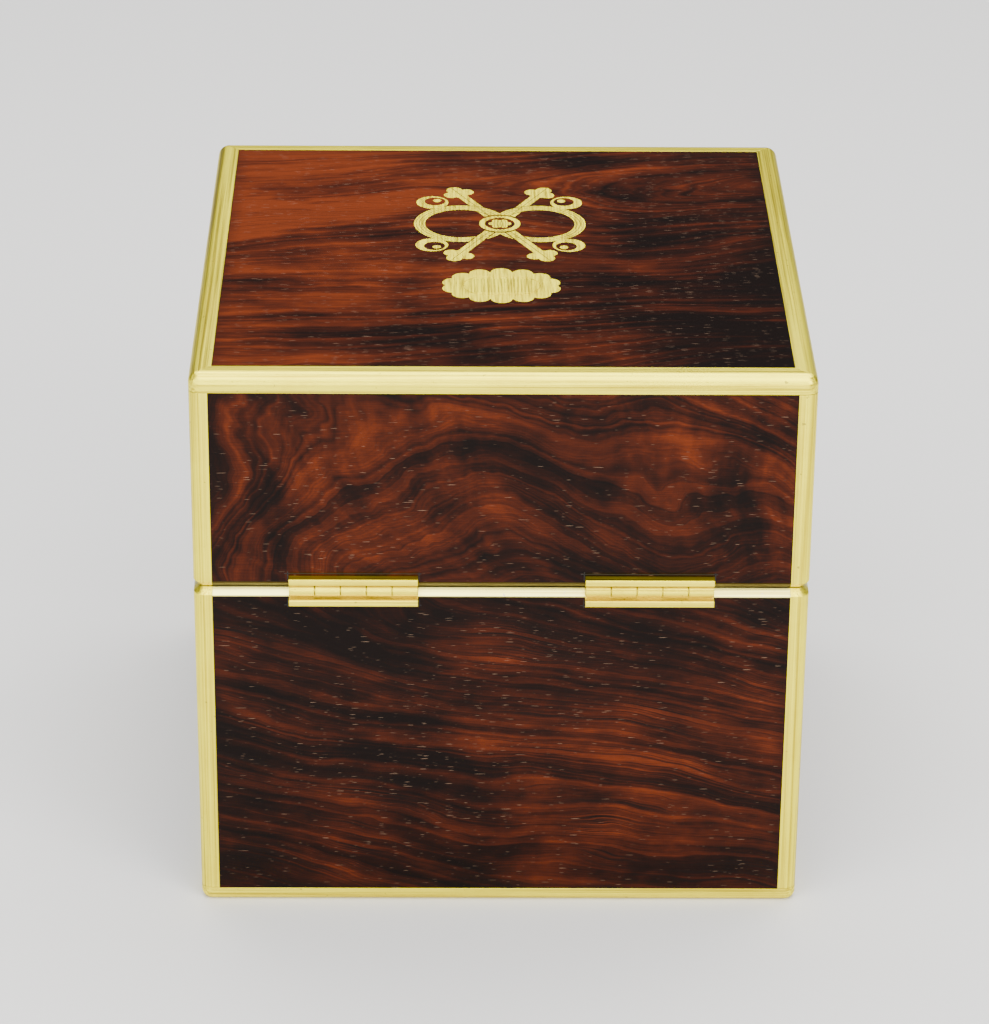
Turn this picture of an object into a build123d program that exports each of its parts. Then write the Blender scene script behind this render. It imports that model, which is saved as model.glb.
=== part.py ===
"""Boxed marine chronometer: a brass-bound rosewood case with a hinged lid and a gimballed movement.

Millimetres, +Z up. The origin is the middle of the underside. The front faces -Y, the hinges are at
the back, +Y. Twelve o'clock on the dial points to the back.
"""

import os
from math import atan2, cos, degrees, hypot, pi, sin, sqrt

from build123d import *

os.makedirs("parts", exist_ok=True)

# ------------------------------------------------------------------ driving dimensions
CASE_W = 180.0  # outside, left to right and front to back
CASE_H = 175.0
SEAM_Z = 106.5  # parting line between base and lid
SEAM_GAP = 0.3
WALL = 9.5
BOARD_T = 9.0  # bottom board and top board

ANGLE_W = 5.6  # visible width of the brass angles
TOP_W = 6.6  # their width on the top of the lid
ANGLE_T = 2.2  # metal thickness of the brass angles
FOOT_W = 4.4  # width of the angles round the foot
EDGE_R = 3.5  # rounding of the upright angles
TOP_R = 3.3
FOOT_R = 2.5
RIM_T = 2.25  # flat brass strips on the meeting edges
RIM_CHAMFER = 1.9
JOINT_LINE = 0.12  # hairline between neighbouring brass strips

GIMBAL_Z = 86.0  # both gimbal axes cross here
RING_OUT = 71.0
RING_IN = 66.0
RING_H = 9.0
BOWL_R = 54.0

HALF = CASE_W / 2
INNER = HALF - WALL  # half the inside width
BASE_TOP = SEAM_Z - SEAM_GAP / 2
LID_LOW = SEAM_Z + SEAM_GAP / 2


# ------------------------------------------------------------------ shared shop jigs
def block(low, high, mode=Mode.ADD):
    """A box between two corners, in whichever part is being built."""
    with Locations(tuple((a + b) / 2 for a, b in zip(low, high))):
        Box(*[b - a for a, b in zip(low, high)], mode=mode)


def finish(part, name):
    """Labels a finished piece and writes it."""
    part.label = name
    export_step(part, f"parts/{name}.step")


def mitre_wedge(quarter, inset):
    """The upright quarter of the plan that faces one wall: 0 front, 1 right, 2 back, 3 left."""
    reach = CASE_W
    with BuildPart() as wedge:
        with BuildSketch(Plane.XY.offset(-1)):
            with Locations(Rotation(0, 0, 90 * quarter)):
                Polygon((0, -inset), (-reach, -reach - inset), (reach, -reach - inset), align=None)
        extrude(amount=CASE_H + 2)
    return wedge.part


BOARD_WEDGES = [mitre_wedge(q, 0) for q in range(4)]
STRIP_WEDGES = [mitre_wedge(q, JOINT_LINE / sqrt(2)) for q in range(4)]
FRONT, BACK = 0, 2  # the quarters that the front and back boards keep


def cross_boxes(boxes):
    """One part from boxes given as (half x, half y, low z, high z), all centred on the Z axis."""
    with BuildPart() as joined:
        for hx, hy, low, high in boxes:
            block((-hx, -hy, low), (hx, hy, high))
    return joined.part


def base_timber(top):
    """The base's timber, which fills all that the brass angles leave, up to a height."""
    side = HALF - ANGLE_W
    return cross_boxes(
        [
            (HALF - ANGLE_T, HALF - ANGLE_T, ANGLE_T, top),
            (HALF, side, FOOT_W, top),
            (side, HALF, FOOT_W, top),
            (HALF - FOOT_W, HALF - FOOT_W, 0, top),
        ]
    )


def lid_timber(low):
    """The lid's timber, from a height upwards."""
    side = HALF - ANGLE_W
    return cross_boxes(
        [
            (HALF - ANGLE_T, HALF - ANGLE_T, low, CASE_H - ANGLE_T),
            (HALF, side, low, CASE_H - ANGLE_W),
            (side, HALF, low, CASE_H - ANGLE_W),
            (HALF - TOP_W, HALF - TOP_W, low, CASE_H),
        ]
    )


with BuildPart() as base_envelope:
    with BuildSketch():
        RectangleRounded(CASE_W, CASE_W, EDGE_R)
    extrude(amount=BASE_TOP)
    fillet(base_envelope.edges().group_by(Axis.Z)[0], FOOT_R)
    chamfer(base_envelope.edges().group_by(Axis.Z)[-1], RIM_CHAMFER)

with BuildPart() as lid_envelope:
    with BuildSketch(Plane.XY.offset(LID_LOW)):
        RectangleRounded(CASE_W, CASE_W, EDGE_R)
    extrude(amount=CASE_H - LID_LOW)
    fillet(lid_envelope.edges().group_by(Axis.Z)[-1], TOP_R)
    chamfer(lid_envelope.edges().group_by(Axis.Z)[0], RIM_CHAMFER)


# ------------------------------------------------------------------ wood screws
SCREW_HEAD_R = 1.7
SCREW_SHANK_R = 0.85
SCREW_L = 6.0
SCREW_HEAD_T = 0.9


def wood_screw(slotted):
    """A countersunk screw along -Z with its head flush at the origin."""
    with BuildPart() as screw:
        with BuildSketch(Plane.XZ):
            Polygon(
                (0, 0),
                (SCREW_HEAD_R, 0),
                (SCREW_SHANK_R, -SCREW_HEAD_T),
                (SCREW_SHANK_R, -SCREW_L + 1),
                (0, -SCREW_L),
                align=None,
            )
        revolve(axis=Axis.Z)
        if slotted:
            block((-2, -0.25, -0.4), (2, 0.25, 0.1), mode=Mode.SUBTRACT)
    return screw.part


SCREW = wood_screw(slotted=True)
SCREW_HOLE = wood_screw(slotted=False)

# ------------------------------------------------------------------ hinge places
HINGE_X = 43.2
HINGE_L = 37.6
KNUCKLES = 5
KNUCKLE_L = HINGE_L / KNUCKLES
KNUCKLE_GAP = 0.24
BARREL_R = 1.9
PIN_R = 0.8
PIVOT_Y = HALF + 0.3
BAR_OUT = 2.65  # how far the stop bars stand proud of the back
BAR_LET_IN = 1.2
BAR_INNER = SEAM_GAP / 2 + RIM_T  # the bars start this far from the parting line
BAR_OUTER = 4.4
LEAF_SCREW_Y = HALF - 5.6
leaf_screw_xs = [side * HINGE_X + dx for side in (-1, 1) for dx in (-12, 0, 12)]

# ------------------------------------------------------------------ handle places
HANDLE_Z = 62.0
PLATE_Y, PLATE_Z, PLATE_T = 41.0, 17.0, 1.8  # half length, half height, thickness
MOUTH_Y, MOUTH_LOW, MOUTH_HIGH = 33.0, 50.0, 74.5
PAN_DEPTH, PAN_T = 6.2, 1.0
BAIL_R = 2.0
BAIL_PIVOT = (HALF - 2.7, 72.0)  # x and z of the bail's axis
BAIL_Y, BAIL_LOW = 30.4, 54.2

# ------------------------------------------------------------------ lock places
LOCK_Y = -HALF + 5.1  # middle plane of the lock
LOCK_HALF_T = 2.4
LOCK_X, LOCK_LOW = 17.0, SEAM_Z - 26
HOOK_X, HOOK_LOW, EYE_Z = 9.0, SEAM_Z - 7.6, SEAM_Z - 6.2
KEYHOLE_Z = SEAM_Z - 19

# ------------------------------------------------------------------ inside fittings' places
BRACKET_Y, BRACKET_LOW, BRACKET_HIGH, BRACKET_T = 14.0, 75.0, 94.0, 2.2
KEY_AT = (66.5, 66.5)
LEVER_AT = (68.0, -70.0)
LEVER_Z = 84.0

base_screws = (
    [Location((x, LEAF_SCREW_Y, BASE_TOP)) for x in leaf_screw_xs]
    + [Location((x, LOCK_Y, BASE_TOP)) for x in (-19.6, 19.6)]
    + [
        Location((side * HALF, y, HANDLE_Z + dz), (0, side * 90, 0))
        for side in (-1, 1)
        for y in (-37.2, 37.2)
        for dz in (-12, 12)
    ]
    + [
        Location((side * (INNER - BRACKET_T), y, GIMBAL_Z - 2), (0, -side * 90, 0))
        for side in (-1, 1)
        for y in (-10.5, 10.5)
    ]
    + [Location((x, -INNER + BRACKET_T, GIMBAL_Z + 3), (-90, 0, 0)) for x in (60.5, 75.5)]
    + [Location((KEY_AT[0] + d, KEY_AT[1] - d, BOARD_T + 1.6)) for d in (-5.6, 5.6)]
)
lid_screws = [Location((x, LEAF_SCREW_Y, LID_LOW), (180, 0, 0)) for x in leaf_screw_xs] + [
    Location((x, LOCK_Y, LID_LOW), (180, 0, 0)) for x in (-13.4, 13.4)
]


def drill(places):
    """Takes the screw holes out of whichever part is being built."""
    with Locations(places):
        add(SCREW_HOLE, mode=Mode.SUBTRACT)


with BuildPart() as base_wood_screws:
    with Locations(base_screws):
        add(SCREW)
finish(base_wood_screws.part, "base_wood_screws")

with BuildPart() as lid_wood_screws:
    with Locations(lid_screws):
        add(SCREW)
finish(lid_wood_screws.part, "lid_wood_screws")


# ------------------------------------------------------------------ hinges
def hinge_leaf_pair(side, own_knuckles, pin_hole, screw_places):
    """Both leaves of one side of the joint. side is -1 for the base and 1 for the lid."""
    plate = sorted((SEAM_Z + side * SEAM_GAP / 2, SEAM_Z + side * BAR_INNER))
    bar = sorted((SEAM_Z + side * BAR_INNER, SEAM_Z + side * BAR_OUTER))
    with BuildPart() as leaves:
        for middle in (-HINGE_X, HINGE_X):
            low_x, high_x = middle - HINGE_L / 2, middle + HINGE_L / 2
            block((low_x, HALF - BAR_LET_IN, bar[0]), (high_x, HALF + BAR_OUT, bar[1]))
        proud = leaves.edges().filter_by(Axis.X).group_by(Axis.Y)[-1]
        fillet(proud, 0.3)
        for middle in (-HINGE_X, HINGE_X):
            low_x, high_x = middle - HINGE_L / 2, middle + HINGE_L / 2
            block((low_x, INNER, plate[0]), (high_x, HALF, plate[1]))
            for k in range(KNUCKLES):
                at = (low_x + (k + 0.5) * KNUCKLE_L, PIVOT_Y, SEAM_Z)
                with Locations(Location(at, (0, 90, 0))):
                    if k in own_knuckles:
                        Cylinder(BARREL_R, KNUCKLE_L - KNUCKLE_GAP)
                    else:
                        Cylinder(BARREL_R + 0.2, KNUCKLE_L + 0.1, mode=Mode.SUBTRACT)
            with Locations(Location((middle, PIVOT_Y, SEAM_Z), (0, 90, 0))):
                Cylinder(pin_hole, HINGE_L + 2, mode=Mode.SUBTRACT)
        drill(screw_places)
    return leaves.part


finish(hinge_leaf_pair(-1, (0, 2, 4), PIN_R, base_screws[:6]), "hinge_base_leaves")
finish(hinge_leaf_pair(1, (1, 3), PIN_R + 0.05, lid_screws[:6]), "hinge_lid_leaves")

with BuildPart() as hinge_pins:
    with Locations([Location((x, PIVOT_Y, SEAM_Z), (0, 90, 0)) for x in (-HINGE_X, HINGE_X)]):
        Cylinder(PIN_R, HINGE_L - 0.2)
finish(hinge_pins.part, "hinge_pins")


# ------------------------------------------------------------------ pockets in the timber
def cut_hinge_pockets(side):
    """The bars' let-in slots in the back board."""
    for middle in (-HINGE_X, HINGE_X):
        block(
            (middle - HINGE_L / 2, HALF - BAR_LET_IN, SEAM_Z - BAR_OUTER if side < 0 else SEAM_Z),
            (middle + HINGE_L / 2, HALF + 1, SEAM_Z if side < 0 else SEAM_Z + BAR_OUTER),
            mode=Mode.SUBTRACT,
        )


def cut_rim_pockets(lock_half_x):
    """Gaps in the rim strips for the hinge leaves and the lock's plate."""
    for middle in (-HINGE_X, HINGE_X):
        block(
            (middle - HINGE_L / 2, INNER - 1, SEAM_Z - 5),
            (middle + HINGE_L / 2, HALF + 1, SEAM_Z + 5),
            mode=Mode.SUBTRACT,
        )
    block(
        (-lock_half_x, LOCK_Y - 2.7, SEAM_Z - 5),
        (lock_half_x, LOCK_Y + 2.7, SEAM_Z + 5),
        mode=Mode.SUBTRACT,
    )


def handle_pan_form(side, grow):
    """The outside form of a handle's plate and pan. grow adds to the pan's walls."""
    with BuildPart() as form:
        with BuildSketch(Plane.YZ.offset(side * HALF)):
            with Locations((0, HANDLE_Z)):
                RectangleRounded(2 * PLATE_Y, 2 * PLATE_Z, 5)
        extrude(amount=-side * PLATE_T)
        deep = side * (HALF - PAN_DEPTH - PAN_T)
        near = side * (HALF - PLATE_T / 2)
        wide = MOUTH_Y + PAN_T + grow
        block(
            (min(deep, near), -wide, MOUTH_LOW - PAN_T - grow),
            (max(deep, near), wide, MOUTH_HIGH + PAN_T + grow),
        )
    return form.part


HANDLE_FORMS = [handle_pan_form(side, 0) for side in (-1, 1)]

# ------------------------------------------------------------------ base boards
with BuildPart() as base_walls:
    add(base_timber(BASE_TOP - RIM_T))
    block((-INNER, -INNER, -1), (INNER, INNER, CASE_H), mode=Mode.SUBTRACT)
    board_half = HALF - FOOT_W
    block((-board_half, -board_half, -1), (board_half, board_half, BOARD_T), mode=Mode.SUBTRACT)
    cut_hinge_pockets(-1)
    for form in HANDLE_FORMS:
        add(form, mode=Mode.SUBTRACT)
    block(
        (-LOCK_X, LOCK_Y - LOCK_HALF_T, LOCK_LOW),
        (LOCK_X, LOCK_Y + LOCK_HALF_T, SEAM_Z),
        mode=Mode.SUBTRACT,
    )
    with BuildSketch(Plane.XZ.offset(HALF)):
        with Locations((0, KEYHOLE_Z)):
            SlotOverall(17, 10, rotation=90)
    extrude(amount=-1, mode=Mode.SUBTRACT)
    with BuildSketch(Plane.XZ.offset(HALF)):
        with Locations((0, KEYHOLE_Z)):
            Circle(1.6)
        with Locations((0, KEYHOLE_Z - 2.4)):
            Rectangle(1.6, 4.8)
    extrude(amount=-4, mode=Mode.SUBTRACT)
    drill(base_screws)

with BuildPart() as base_front_board:
    add(base_walls.part)
    add(BOARD_WEDGES[FRONT], mode=Mode.INTERSECT)
finish(base_front_board.part, "base_front_board")

with BuildPart() as base_back_board:
    add(base_walls.part)
    add(BOARD_WEDGES[BACK], mode=Mode.INTERSECT)
finish(base_back_board.part, "base_back_board")

with BuildPart() as base_side_boards:
    add(base_walls.part)
    for wedge in (BOARD_WEDGES[FRONT], BOARD_WEDGES[BACK]):
        add(wedge, mode=Mode.SUBTRACT)
finish(base_side_boards.part, "base_side_boards")

with BuildPart() as base_bottom_board:
    block((FOOT_W - HALF, FOOT_W - HALF, 0), (HALF - FOOT_W, HALF - FOOT_W, BOARD_T))
    drill(base_screws[-2:])
finish(base_bottom_board.part, "base_bottom_board")

# ------------------------------------------------------------------ base brass
with BuildPart() as base_frame:
    add(base_envelope.part)
    add(base_timber(CASE_H), mode=Mode.SUBTRACT)


def mitred_strip(frame, wedge, low, high):
    """One wall's strip of a brass frame between two heights, mitred at both ends."""
    with BuildPart() as strip:
        add(frame)
        block((-CASE_W, -CASE_W, low), (CASE_W, CASE_W, high), mode=Mode.INTERSECT)
        add(wedge, mode=Mode.INTERSECT)
    return strip.part


def mitred_ring(frame, low, high):
    """Four mitred strips cut from a brass frame between two heights."""
    strips = [mitred_strip(frame, wedge, low, high) for wedge in STRIP_WEDGES]
    with BuildPart() as ring:
        for strip in strips:
            add(strip)
    return ring.part


finish(mitred_ring(base_frame.part, -1, FOOT_W), "base_foot_binding")

with BuildPart() as base_corner_binding:
    add(base_frame.part)
    block(
        (-CASE_W, -CASE_W, FOOT_W + JOINT_LINE), (CASE_W, CASE_W, CASE_H), mode=Mode.INTERSECT
    )
finish(base_corner_binding.part, "base_corner_binding")

SELVEDGE_X = 22.0  # half length of the lock's plates
with BuildPart() as base_rim:
    add(base_envelope.part)
    add(base_timber(CASE_H), mode=Mode.INTERSECT)
    block((-CASE_W, -CASE_W, BASE_TOP - RIM_T), (CASE_W, CASE_W, CASE_H), mode=Mode.INTERSECT)
    block((-INNER, -INNER, 0), (INNER, INNER, CASE_H), mode=Mode.SUBTRACT)
    cut_rim_pockets(SELVEDGE_X)
finish(base_rim.part, "base_rim_binding")

# ------------------------------------------------------------------ lid inlay
INLAY_T = 0.8
ENGRAVED, LINE_W = 0.15, 0.3  # depth and width of the engraved lines
LACE_GAP = 0.35  # wood left each side of a strap that passes over another
LACE_REACH = 6.2  # radius round a crossing within which a strap is interrupted
KNOT_Y = -22.6
RING_X, RING_OUTER, RING_STRAP = 12.0, 14.5, 3.4  # two rings side by side
BAR_RUN = (13.0, 25.0)  # direction of one diagonal bar. The other is its mirror image
BAR_L, BAR_W = 54.0, 3.2
LEAF_AT, LEAF_R = (27.4, 2.7), 2.3  # side leaves of a bar's end: distance along, distance aside
TIP_AT, TIP_R = 30.4, 2.5
ROSETTE_CLEAR, ROSETTE_OUT, ROSETTE_IN = 7.2, 6.4, 4.6
PETALS, PETAL_AT, PETAL_R = 6, 2.3, 1.25
CURL_AT, CURL_R = (20.9, 17.0), 5.0
CURL_HOLE_R, CURL_SHIFT = 3.2, 0.8
CURL_BEAD_R, CURL_BEAD_SHIFT = 1.3, 1.5
PLAQUE_Y, PLAQUE_W, PLAQUE_D = 25.3, 36.0, 26.0
PLAQUE_LOBES, LOBE_R = 14, 3.2
PLAQUE_LINE = 13.0  # the engraved border is this much smaller than the plaque

bar_len = hypot(*BAR_RUN)
ring_mid = RING_OUTER - RING_STRAP / 2
cross_along = RING_X * BAR_RUN[0] / bar_len
cross_at = cross_along + sqrt(cross_along**2 + ring_mid**2 - RING_X**2)
cross_x, cross_y = (cross_at * run / bar_len for run in BAR_RUN)


def knot_ring(side):
    """One of the two rings, cleared round the rosette."""
    with BuildSketch() as face:
        with Locations((side * RING_X, 0)):
            Circle(RING_OUTER)
            Circle(RING_OUTER - RING_STRAP, mode=Mode.SUBTRACT)
        Circle(ROSETTE_CLEAR, mode=Mode.SUBTRACT)
    return face.sketch


def knot_bar(side):
    """One diagonal bar with a three-lobed leaf at each end, cleared round the rosette."""
    lean = degrees(atan2(BAR_RUN[1], side * BAR_RUN[0]))
    with BuildSketch() as face:
        with Locations(Rotation(0, 0, lean)):
            Rectangle(BAR_L, BAR_W)
            with Locations(*[(end * LEAF_AT[0], y) for end in (-1, 1) for y in (-LEAF_AT[1], LEAF_AT[1])]):
                Circle(LEAF_R)
            with Locations((-TIP_AT, 0), (TIP_AT, 0)):
                Circle(TIP_R)
            with Locations((-LEAF_AT[0], 0), (LEAF_AT[0], 0)):
                Circle(BAR_W)
        Circle(ROSETTE_CLEAR, mode=Mode.SUBTRACT)
    return face.sketch


def passed_under(strap, over, spot):
    """A strap with a gap at a spot where another one passes over it."""
    wider = offset(over, LACE_GAP, mode=Mode.PRIVATE)
    with BuildSketch() as cover:
        with Locations(spot):
            Circle(LACE_REACH)
        add(wider, mode=Mode.INTERSECT)
    with BuildSketch() as laced:
        add(strap)
        add(cover.sketch, mode=Mode.SUBTRACT)
    return laced.sketch


rings = {side: knot_ring(side) for side in (-1, 1)}
bars = {side: knot_bar(side) for side in (-1, 1)}
laced_rings = {side: passed_under(rings[side], bars[side], (side * cross_x, cross_y)) for side in (-1, 1)}
laced_bars = {side: passed_under(bars[side], rings[-side], (-side * cross_x, -cross_y)) for side in (-1, 1)}

with BuildSketch() as knot_face:
    for side in (-1, 1):
        add(laced_rings[side])
        add(laced_bars[side])
        for sy in (-1, 1):
            x, y = side * CURL_AT[0], sy * CURL_AT[1]
            with Locations((x, y)):
                Circle(CURL_R)
            with Locations((x - CURL_SHIFT * side, y + CURL_SHIFT * sy)):
                Circle(CURL_HOLE_R, mode=Mode.SUBTRACT)
            with Locations((x - CURL_BEAD_SHIFT * side, y + CURL_BEAD_SHIFT * sy)):
                Circle(CURL_BEAD_R)
    Circle(ROSETTE_OUT)
    Circle(ROSETTE_IN, mode=Mode.SUBTRACT)
    Circle(PETAL_AT)
    with PolarLocations(PETAL_AT, PETALS):
        Circle(PETAL_R)

with BuildSketch() as plaque_face:
    SlotOverall(PLAQUE_W - 6, PLAQUE_D - 6)
    for k in range(PLAQUE_LOBES):
        turn = 2 * pi * (k + 0.5) / PLAQUE_LOBES
        with Locations(((PLAQUE_W / 2 - LOBE_R) * cos(turn), (PLAQUE_D / 2 - LOBE_R) * sin(turn))):
            Circle(LOBE_R)

with BuildSketch(Plane.XY.offset(CASE_H)) as inlay_face:
    with Locations((0, KNOT_Y)):
        add(knot_face.sketch)
    with Locations((0, PLAQUE_Y)):
        add(plaque_face.sketch)

with BuildPart() as lid_inlay:
    extrude(inlay_face.sketch, amount=-INLAY_T)
    with BuildSketch(Plane.XY.offset(CASE_H)):
        with Locations((0, PLAQUE_Y)):
            SlotOverall(PLAQUE_W - PLAQUE_LINE + LINE_W, PLAQUE_D - PLAQUE_LINE + LINE_W)
            SlotOverall(PLAQUE_W - PLAQUE_LINE - LINE_W, PLAQUE_D - PLAQUE_LINE - LINE_W, mode=Mode.SUBTRACT)
    extrude(amount=-ENGRAVED, mode=Mode.SUBTRACT)
finish(lid_inlay.part, "lid_inlay")

# ------------------------------------------------------------------ lid boards
with BuildPart() as lid_walls:
    add(lid_timber(LID_LOW + RIM_T))
    block((-INNER, -INNER, 0), (INNER, INNER, CASE_H + 1), mode=Mode.SUBTRACT)
    top_half = HALF - TOP_W
    block(
        (-top_half, -top_half, CASE_H - BOARD_T), (top_half, top_half, CASE_H + 1),
        mode=Mode.SUBTRACT,
    )
    cut_hinge_pockets(1)
    drill(lid_screws)

with BuildPart() as lid_front_board:
    add(lid_walls.part)
    add(BOARD_WEDGES[FRONT], mode=Mode.INTERSECT)
finish(lid_front_board.part, "lid_front_board")

with BuildPart() as lid_back_board:
    add(lid_walls.part)
    add(BOARD_WEDGES[BACK], mode=Mode.INTERSECT)
finish(lid_back_board.part, "lid_back_board")

with BuildPart() as lid_side_boards:
    add(lid_walls.part)
    for wedge in (BOARD_WEDGES[FRONT], BOARD_WEDGES[BACK]):
        add(wedge, mode=Mode.SUBTRACT)
finish(lid_side_boards.part, "lid_side_boards")

with BuildPart() as lid_top_board:
    block((-top_half, -top_half, CASE_H - BOARD_T), (top_half, top_half, CASE_H))
    extrude(inlay_face.sketch, amount=-INLAY_T, mode=Mode.SUBTRACT)
finish(lid_top_board.part, "lid_top_board")

# ------------------------------------------------------------------ lid brass
with BuildPart() as lid_frame:
    add(lid_envelope.part)
    add(lid_timber(0), mode=Mode.SUBTRACT)
finish(mitred_ring(lid_frame.part, CASE_H - ANGLE_W, CASE_H + 1), "lid_top_binding")

with BuildPart() as lid_corner_binding:
    add(lid_frame.part)
    block(
        (-CASE_W, -CASE_W, 0), (CASE_W, CASE_W, CASE_H - ANGLE_W - JOINT_LINE), mode=Mode.INTERSECT
    )
finish(lid_corner_binding.part, "lid_corner_binding")

with BuildPart() as lid_rim:
    add(lid_envelope.part)
    add(lid_timber(0), mode=Mode.INTERSECT)
    block((-CASE_W, -CASE_W, 0), (CASE_W, CASE_W, LID_LOW + RIM_T), mode=Mode.INTERSECT)
    block((-INNER, -INNER, 0), (INNER, INNER, CASE_H), mode=Mode.SUBTRACT)
    cut_rim_pockets(SELVEDGE_X)
finish(lid_rim.part, "lid_rim_binding")

# ------------------------------------------------------------------ lock
HOOK_T = 2.0
BOLT_PIN_R, EYE_R = 1.3, 1.7
with BuildPart() as lock_case:
    block((-LOCK_X, LOCK_Y - LOCK_HALF_T, LOCK_LOW), (LOCK_X, LOCK_Y + LOCK_HALF_T, BASE_TOP - RIM_T))
    inside = LOCK_HALF_T - 0.8
    block(
        (-LOCK_X + 0.8, LOCK_Y - inside, LOCK_LOW + 0.8),
        (LOCK_X - 0.8, LOCK_Y + inside, BASE_TOP - RIM_T),
        mode=Mode.SUBTRACT,
    )
    block((-SELVEDGE_X, LOCK_Y - 2.7, BASE_TOP - RIM_T), (SELVEDGE_X, LOCK_Y + 2.7, BASE_TOP))
    for x in (-HOOK_X, HOOK_X):
        block((x - 1.3, LOCK_Y - 2.0, BASE_TOP - 9), (x + 1.3, LOCK_Y + 2.0, SEAM_Z), mode=Mode.SUBTRACT)
    with Locations(Location((0, LOCK_Y - LOCK_HALF_T, KEYHOLE_Z), (90, 0, 0))):
        Cylinder(1.6, 2.5, mode=Mode.SUBTRACT)
    with Locations(Location((0, LOCK_Y, KEYHOLE_Z), (90, 0, 0))):
        Cylinder(0.9, 2 * LOCK_HALF_T)
    drill(base_screws[6:8])
finish(lock_case.part, "lock_case")

with BuildPart() as lock_bolt:
    for x in (-HOOK_X, HOOK_X):
        with Locations(Location((x - 2.9, LOCK_Y, EYE_Z), (0, 90, 0))):
            Cylinder(BOLT_PIN_R, 3.0)
        block((x - 5.6, LOCK_Y - 1.3, EYE_Z - 6.5), (x - 4.2, LOCK_Y + 1.3, EYE_Z + 1.3))
    block((-HOOK_X - 5.6, LOCK_Y - 1.3, EYE_Z - 8), (HOOK_X - 4.2, LOCK_Y + 1.3, EYE_Z - 5.2))
finish(lock_bolt.part, "lock_bolt")

with BuildPart() as lock_link_plate:
    block((-SELVEDGE_X, LOCK_Y - 2.7, LID_LOW), (SELVEDGE_X, LOCK_Y + 2.7, LID_LOW + RIM_T))
    for x in (-HOOK_X, HOOK_X):
        block((x - HOOK_T / 2, LOCK_Y - 1.9, HOOK_LOW), (x + HOOK_T / 2, LOCK_Y + 1.9, LID_LOW + 0.5))
        with Locations(Location((x, LOCK_Y, EYE_Z), (0, 90, 0))):
            Cylinder(EYE_R, HOOK_T + 1, mode=Mode.SUBTRACT)
    drill(lid_screws[6:])
finish(lock_link_plate.part, "lock_link_plate")

with BuildPart() as lock_escutcheon:
    with BuildSketch(Plane.XZ.offset(HALF)):
        with Locations((0, KEYHOLE_Z)):
            SlotOverall(17, 10, rotation=90)
            Circle(1.6, mode=Mode.SUBTRACT)
        with Locations((0, KEYHOLE_Z - 2.4)):
            Rectangle(1.6, 4.8, mode=Mode.SUBTRACT)
    extrude(amount=-1)
finish(lock_escutcheon.part, "lock_escutcheon")

# ------------------------------------------------------------------ carrying handles
PIVOT_HOLE_R, PIVOT_PIN_R = 1.0, 0.95


def handle_pan(side, form):
    """A handle's plate and pan, hollowed, with the bail's pivot holes."""
    x_mouth, x_floor = side * (HALF + 1), side * (HALF - PAN_DEPTH)
    with BuildPart() as pan:
        add(form)
        block(
            (min(x_mouth, x_floor), -MOUTH_Y, MOUTH_LOW),
            (max(x_mouth, x_floor), MOUTH_Y, MOUTH_HIGH),
            mode=Mode.SUBTRACT,
        )
        with Locations(Location((side * BAIL_PIVOT[0], 0, BAIL_PIVOT[1]), (90, 0, 0))):
            Cylinder(PIVOT_HOLE_R, 2 * MOUTH_Y + 1.2, mode=Mode.SUBTRACT)
    return pan.part


pans = [handle_pan(side, form) for side, form in zip((-1, 1), HANDLE_FORMS)]
with BuildPart() as handle_pans:
    for pan in pans:
        add(pan)
    drill(base_screws[8:16])
finish(handle_pans.part, "handle_pans")


def bail(side):
    """A drop handle: a round bar bent to a flat U, with a boss and a pivot at each end."""
    x, top = side * BAIL_PIVOT[0], BAIL_PIVOT[1]
    with BuildPart() as handle:
        with BuildLine():
            FilletPolyline(
                (x, -BAIL_Y, top), (x, -BAIL_Y, BAIL_LOW), (x, BAIL_Y, BAIL_LOW), (x, BAIL_Y, top),
                radius=6,
            )
        with BuildSketch(Plane((x, -BAIL_Y, top), z_dir=(0, 0, -1))):
            Circle(BAIL_R)
        sweep()
        for y in (-BAIL_Y, BAIL_Y):
            with Locations(Location((x, y, top), (90, 0, 0))):
                Cylinder(BAIL_R + 0.3, 2 * (MOUTH_Y - BAIL_Y) - 0.4)
        with Locations(Location((x, 0, top), (90, 0, 0))):
            with Locations((0, 0, BAIL_Y + 1.4), (0, 0, -BAIL_Y - 1.4)):
                Cylinder(PIVOT_PIN_R, 3.2)
    return handle.part


finish(bail(-1), "left_handle")
finish(bail(1), "right_handle")

# ------------------------------------------------------------------ gimbal suspension
PIVOT_R, PIVOT_BORE_R = 1.8, 1.85
BRACKET_BOSS_END = 73.8
RING_BOSS_END = 72.6
OUTER_PIVOT_TIP = 66.8
with BuildPart() as gimbal_brackets:
    for side in (-1, 1):
        near, far = sorted((side * (INNER - BRACKET_T), side * INNER))
        block((near, -BRACKET_Y, BRACKET_LOW), (far, BRACKET_Y, BRACKET_HIGH))
    upright = gimbal_brackets.edges().filter_by(Axis.X)
    fillet(upright, 3.5)
    for side in (-1, 1):
        middle = side * (BRACKET_BOSS_END + INNER) / 2
        with Locations(Location((middle, 0, GIMBAL_Z), (0, 90, 0))):
            Cylinder(5.0, INNER - BRACKET_BOSS_END)
            Cylinder(PIVOT_R, 20, mode=Mode.SUBTRACT)
    drill(base_screws[16:20])
finish(gimbal_brackets.part, "gimbal_brackets")

with BuildPart() as gimbal_outer_pivots:
    for side in (-1, 1):
        with Locations(Location((side * (OUTER_PIVOT_TIP + INNER) / 2, 0, GIMBAL_Z), (0, 90, 0))):
            Cylinder(PIVOT_R, INNER - OUTER_PIVOT_TIP)
finish(gimbal_outer_pivots.part, "gimbal_outer_pivots")

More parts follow.
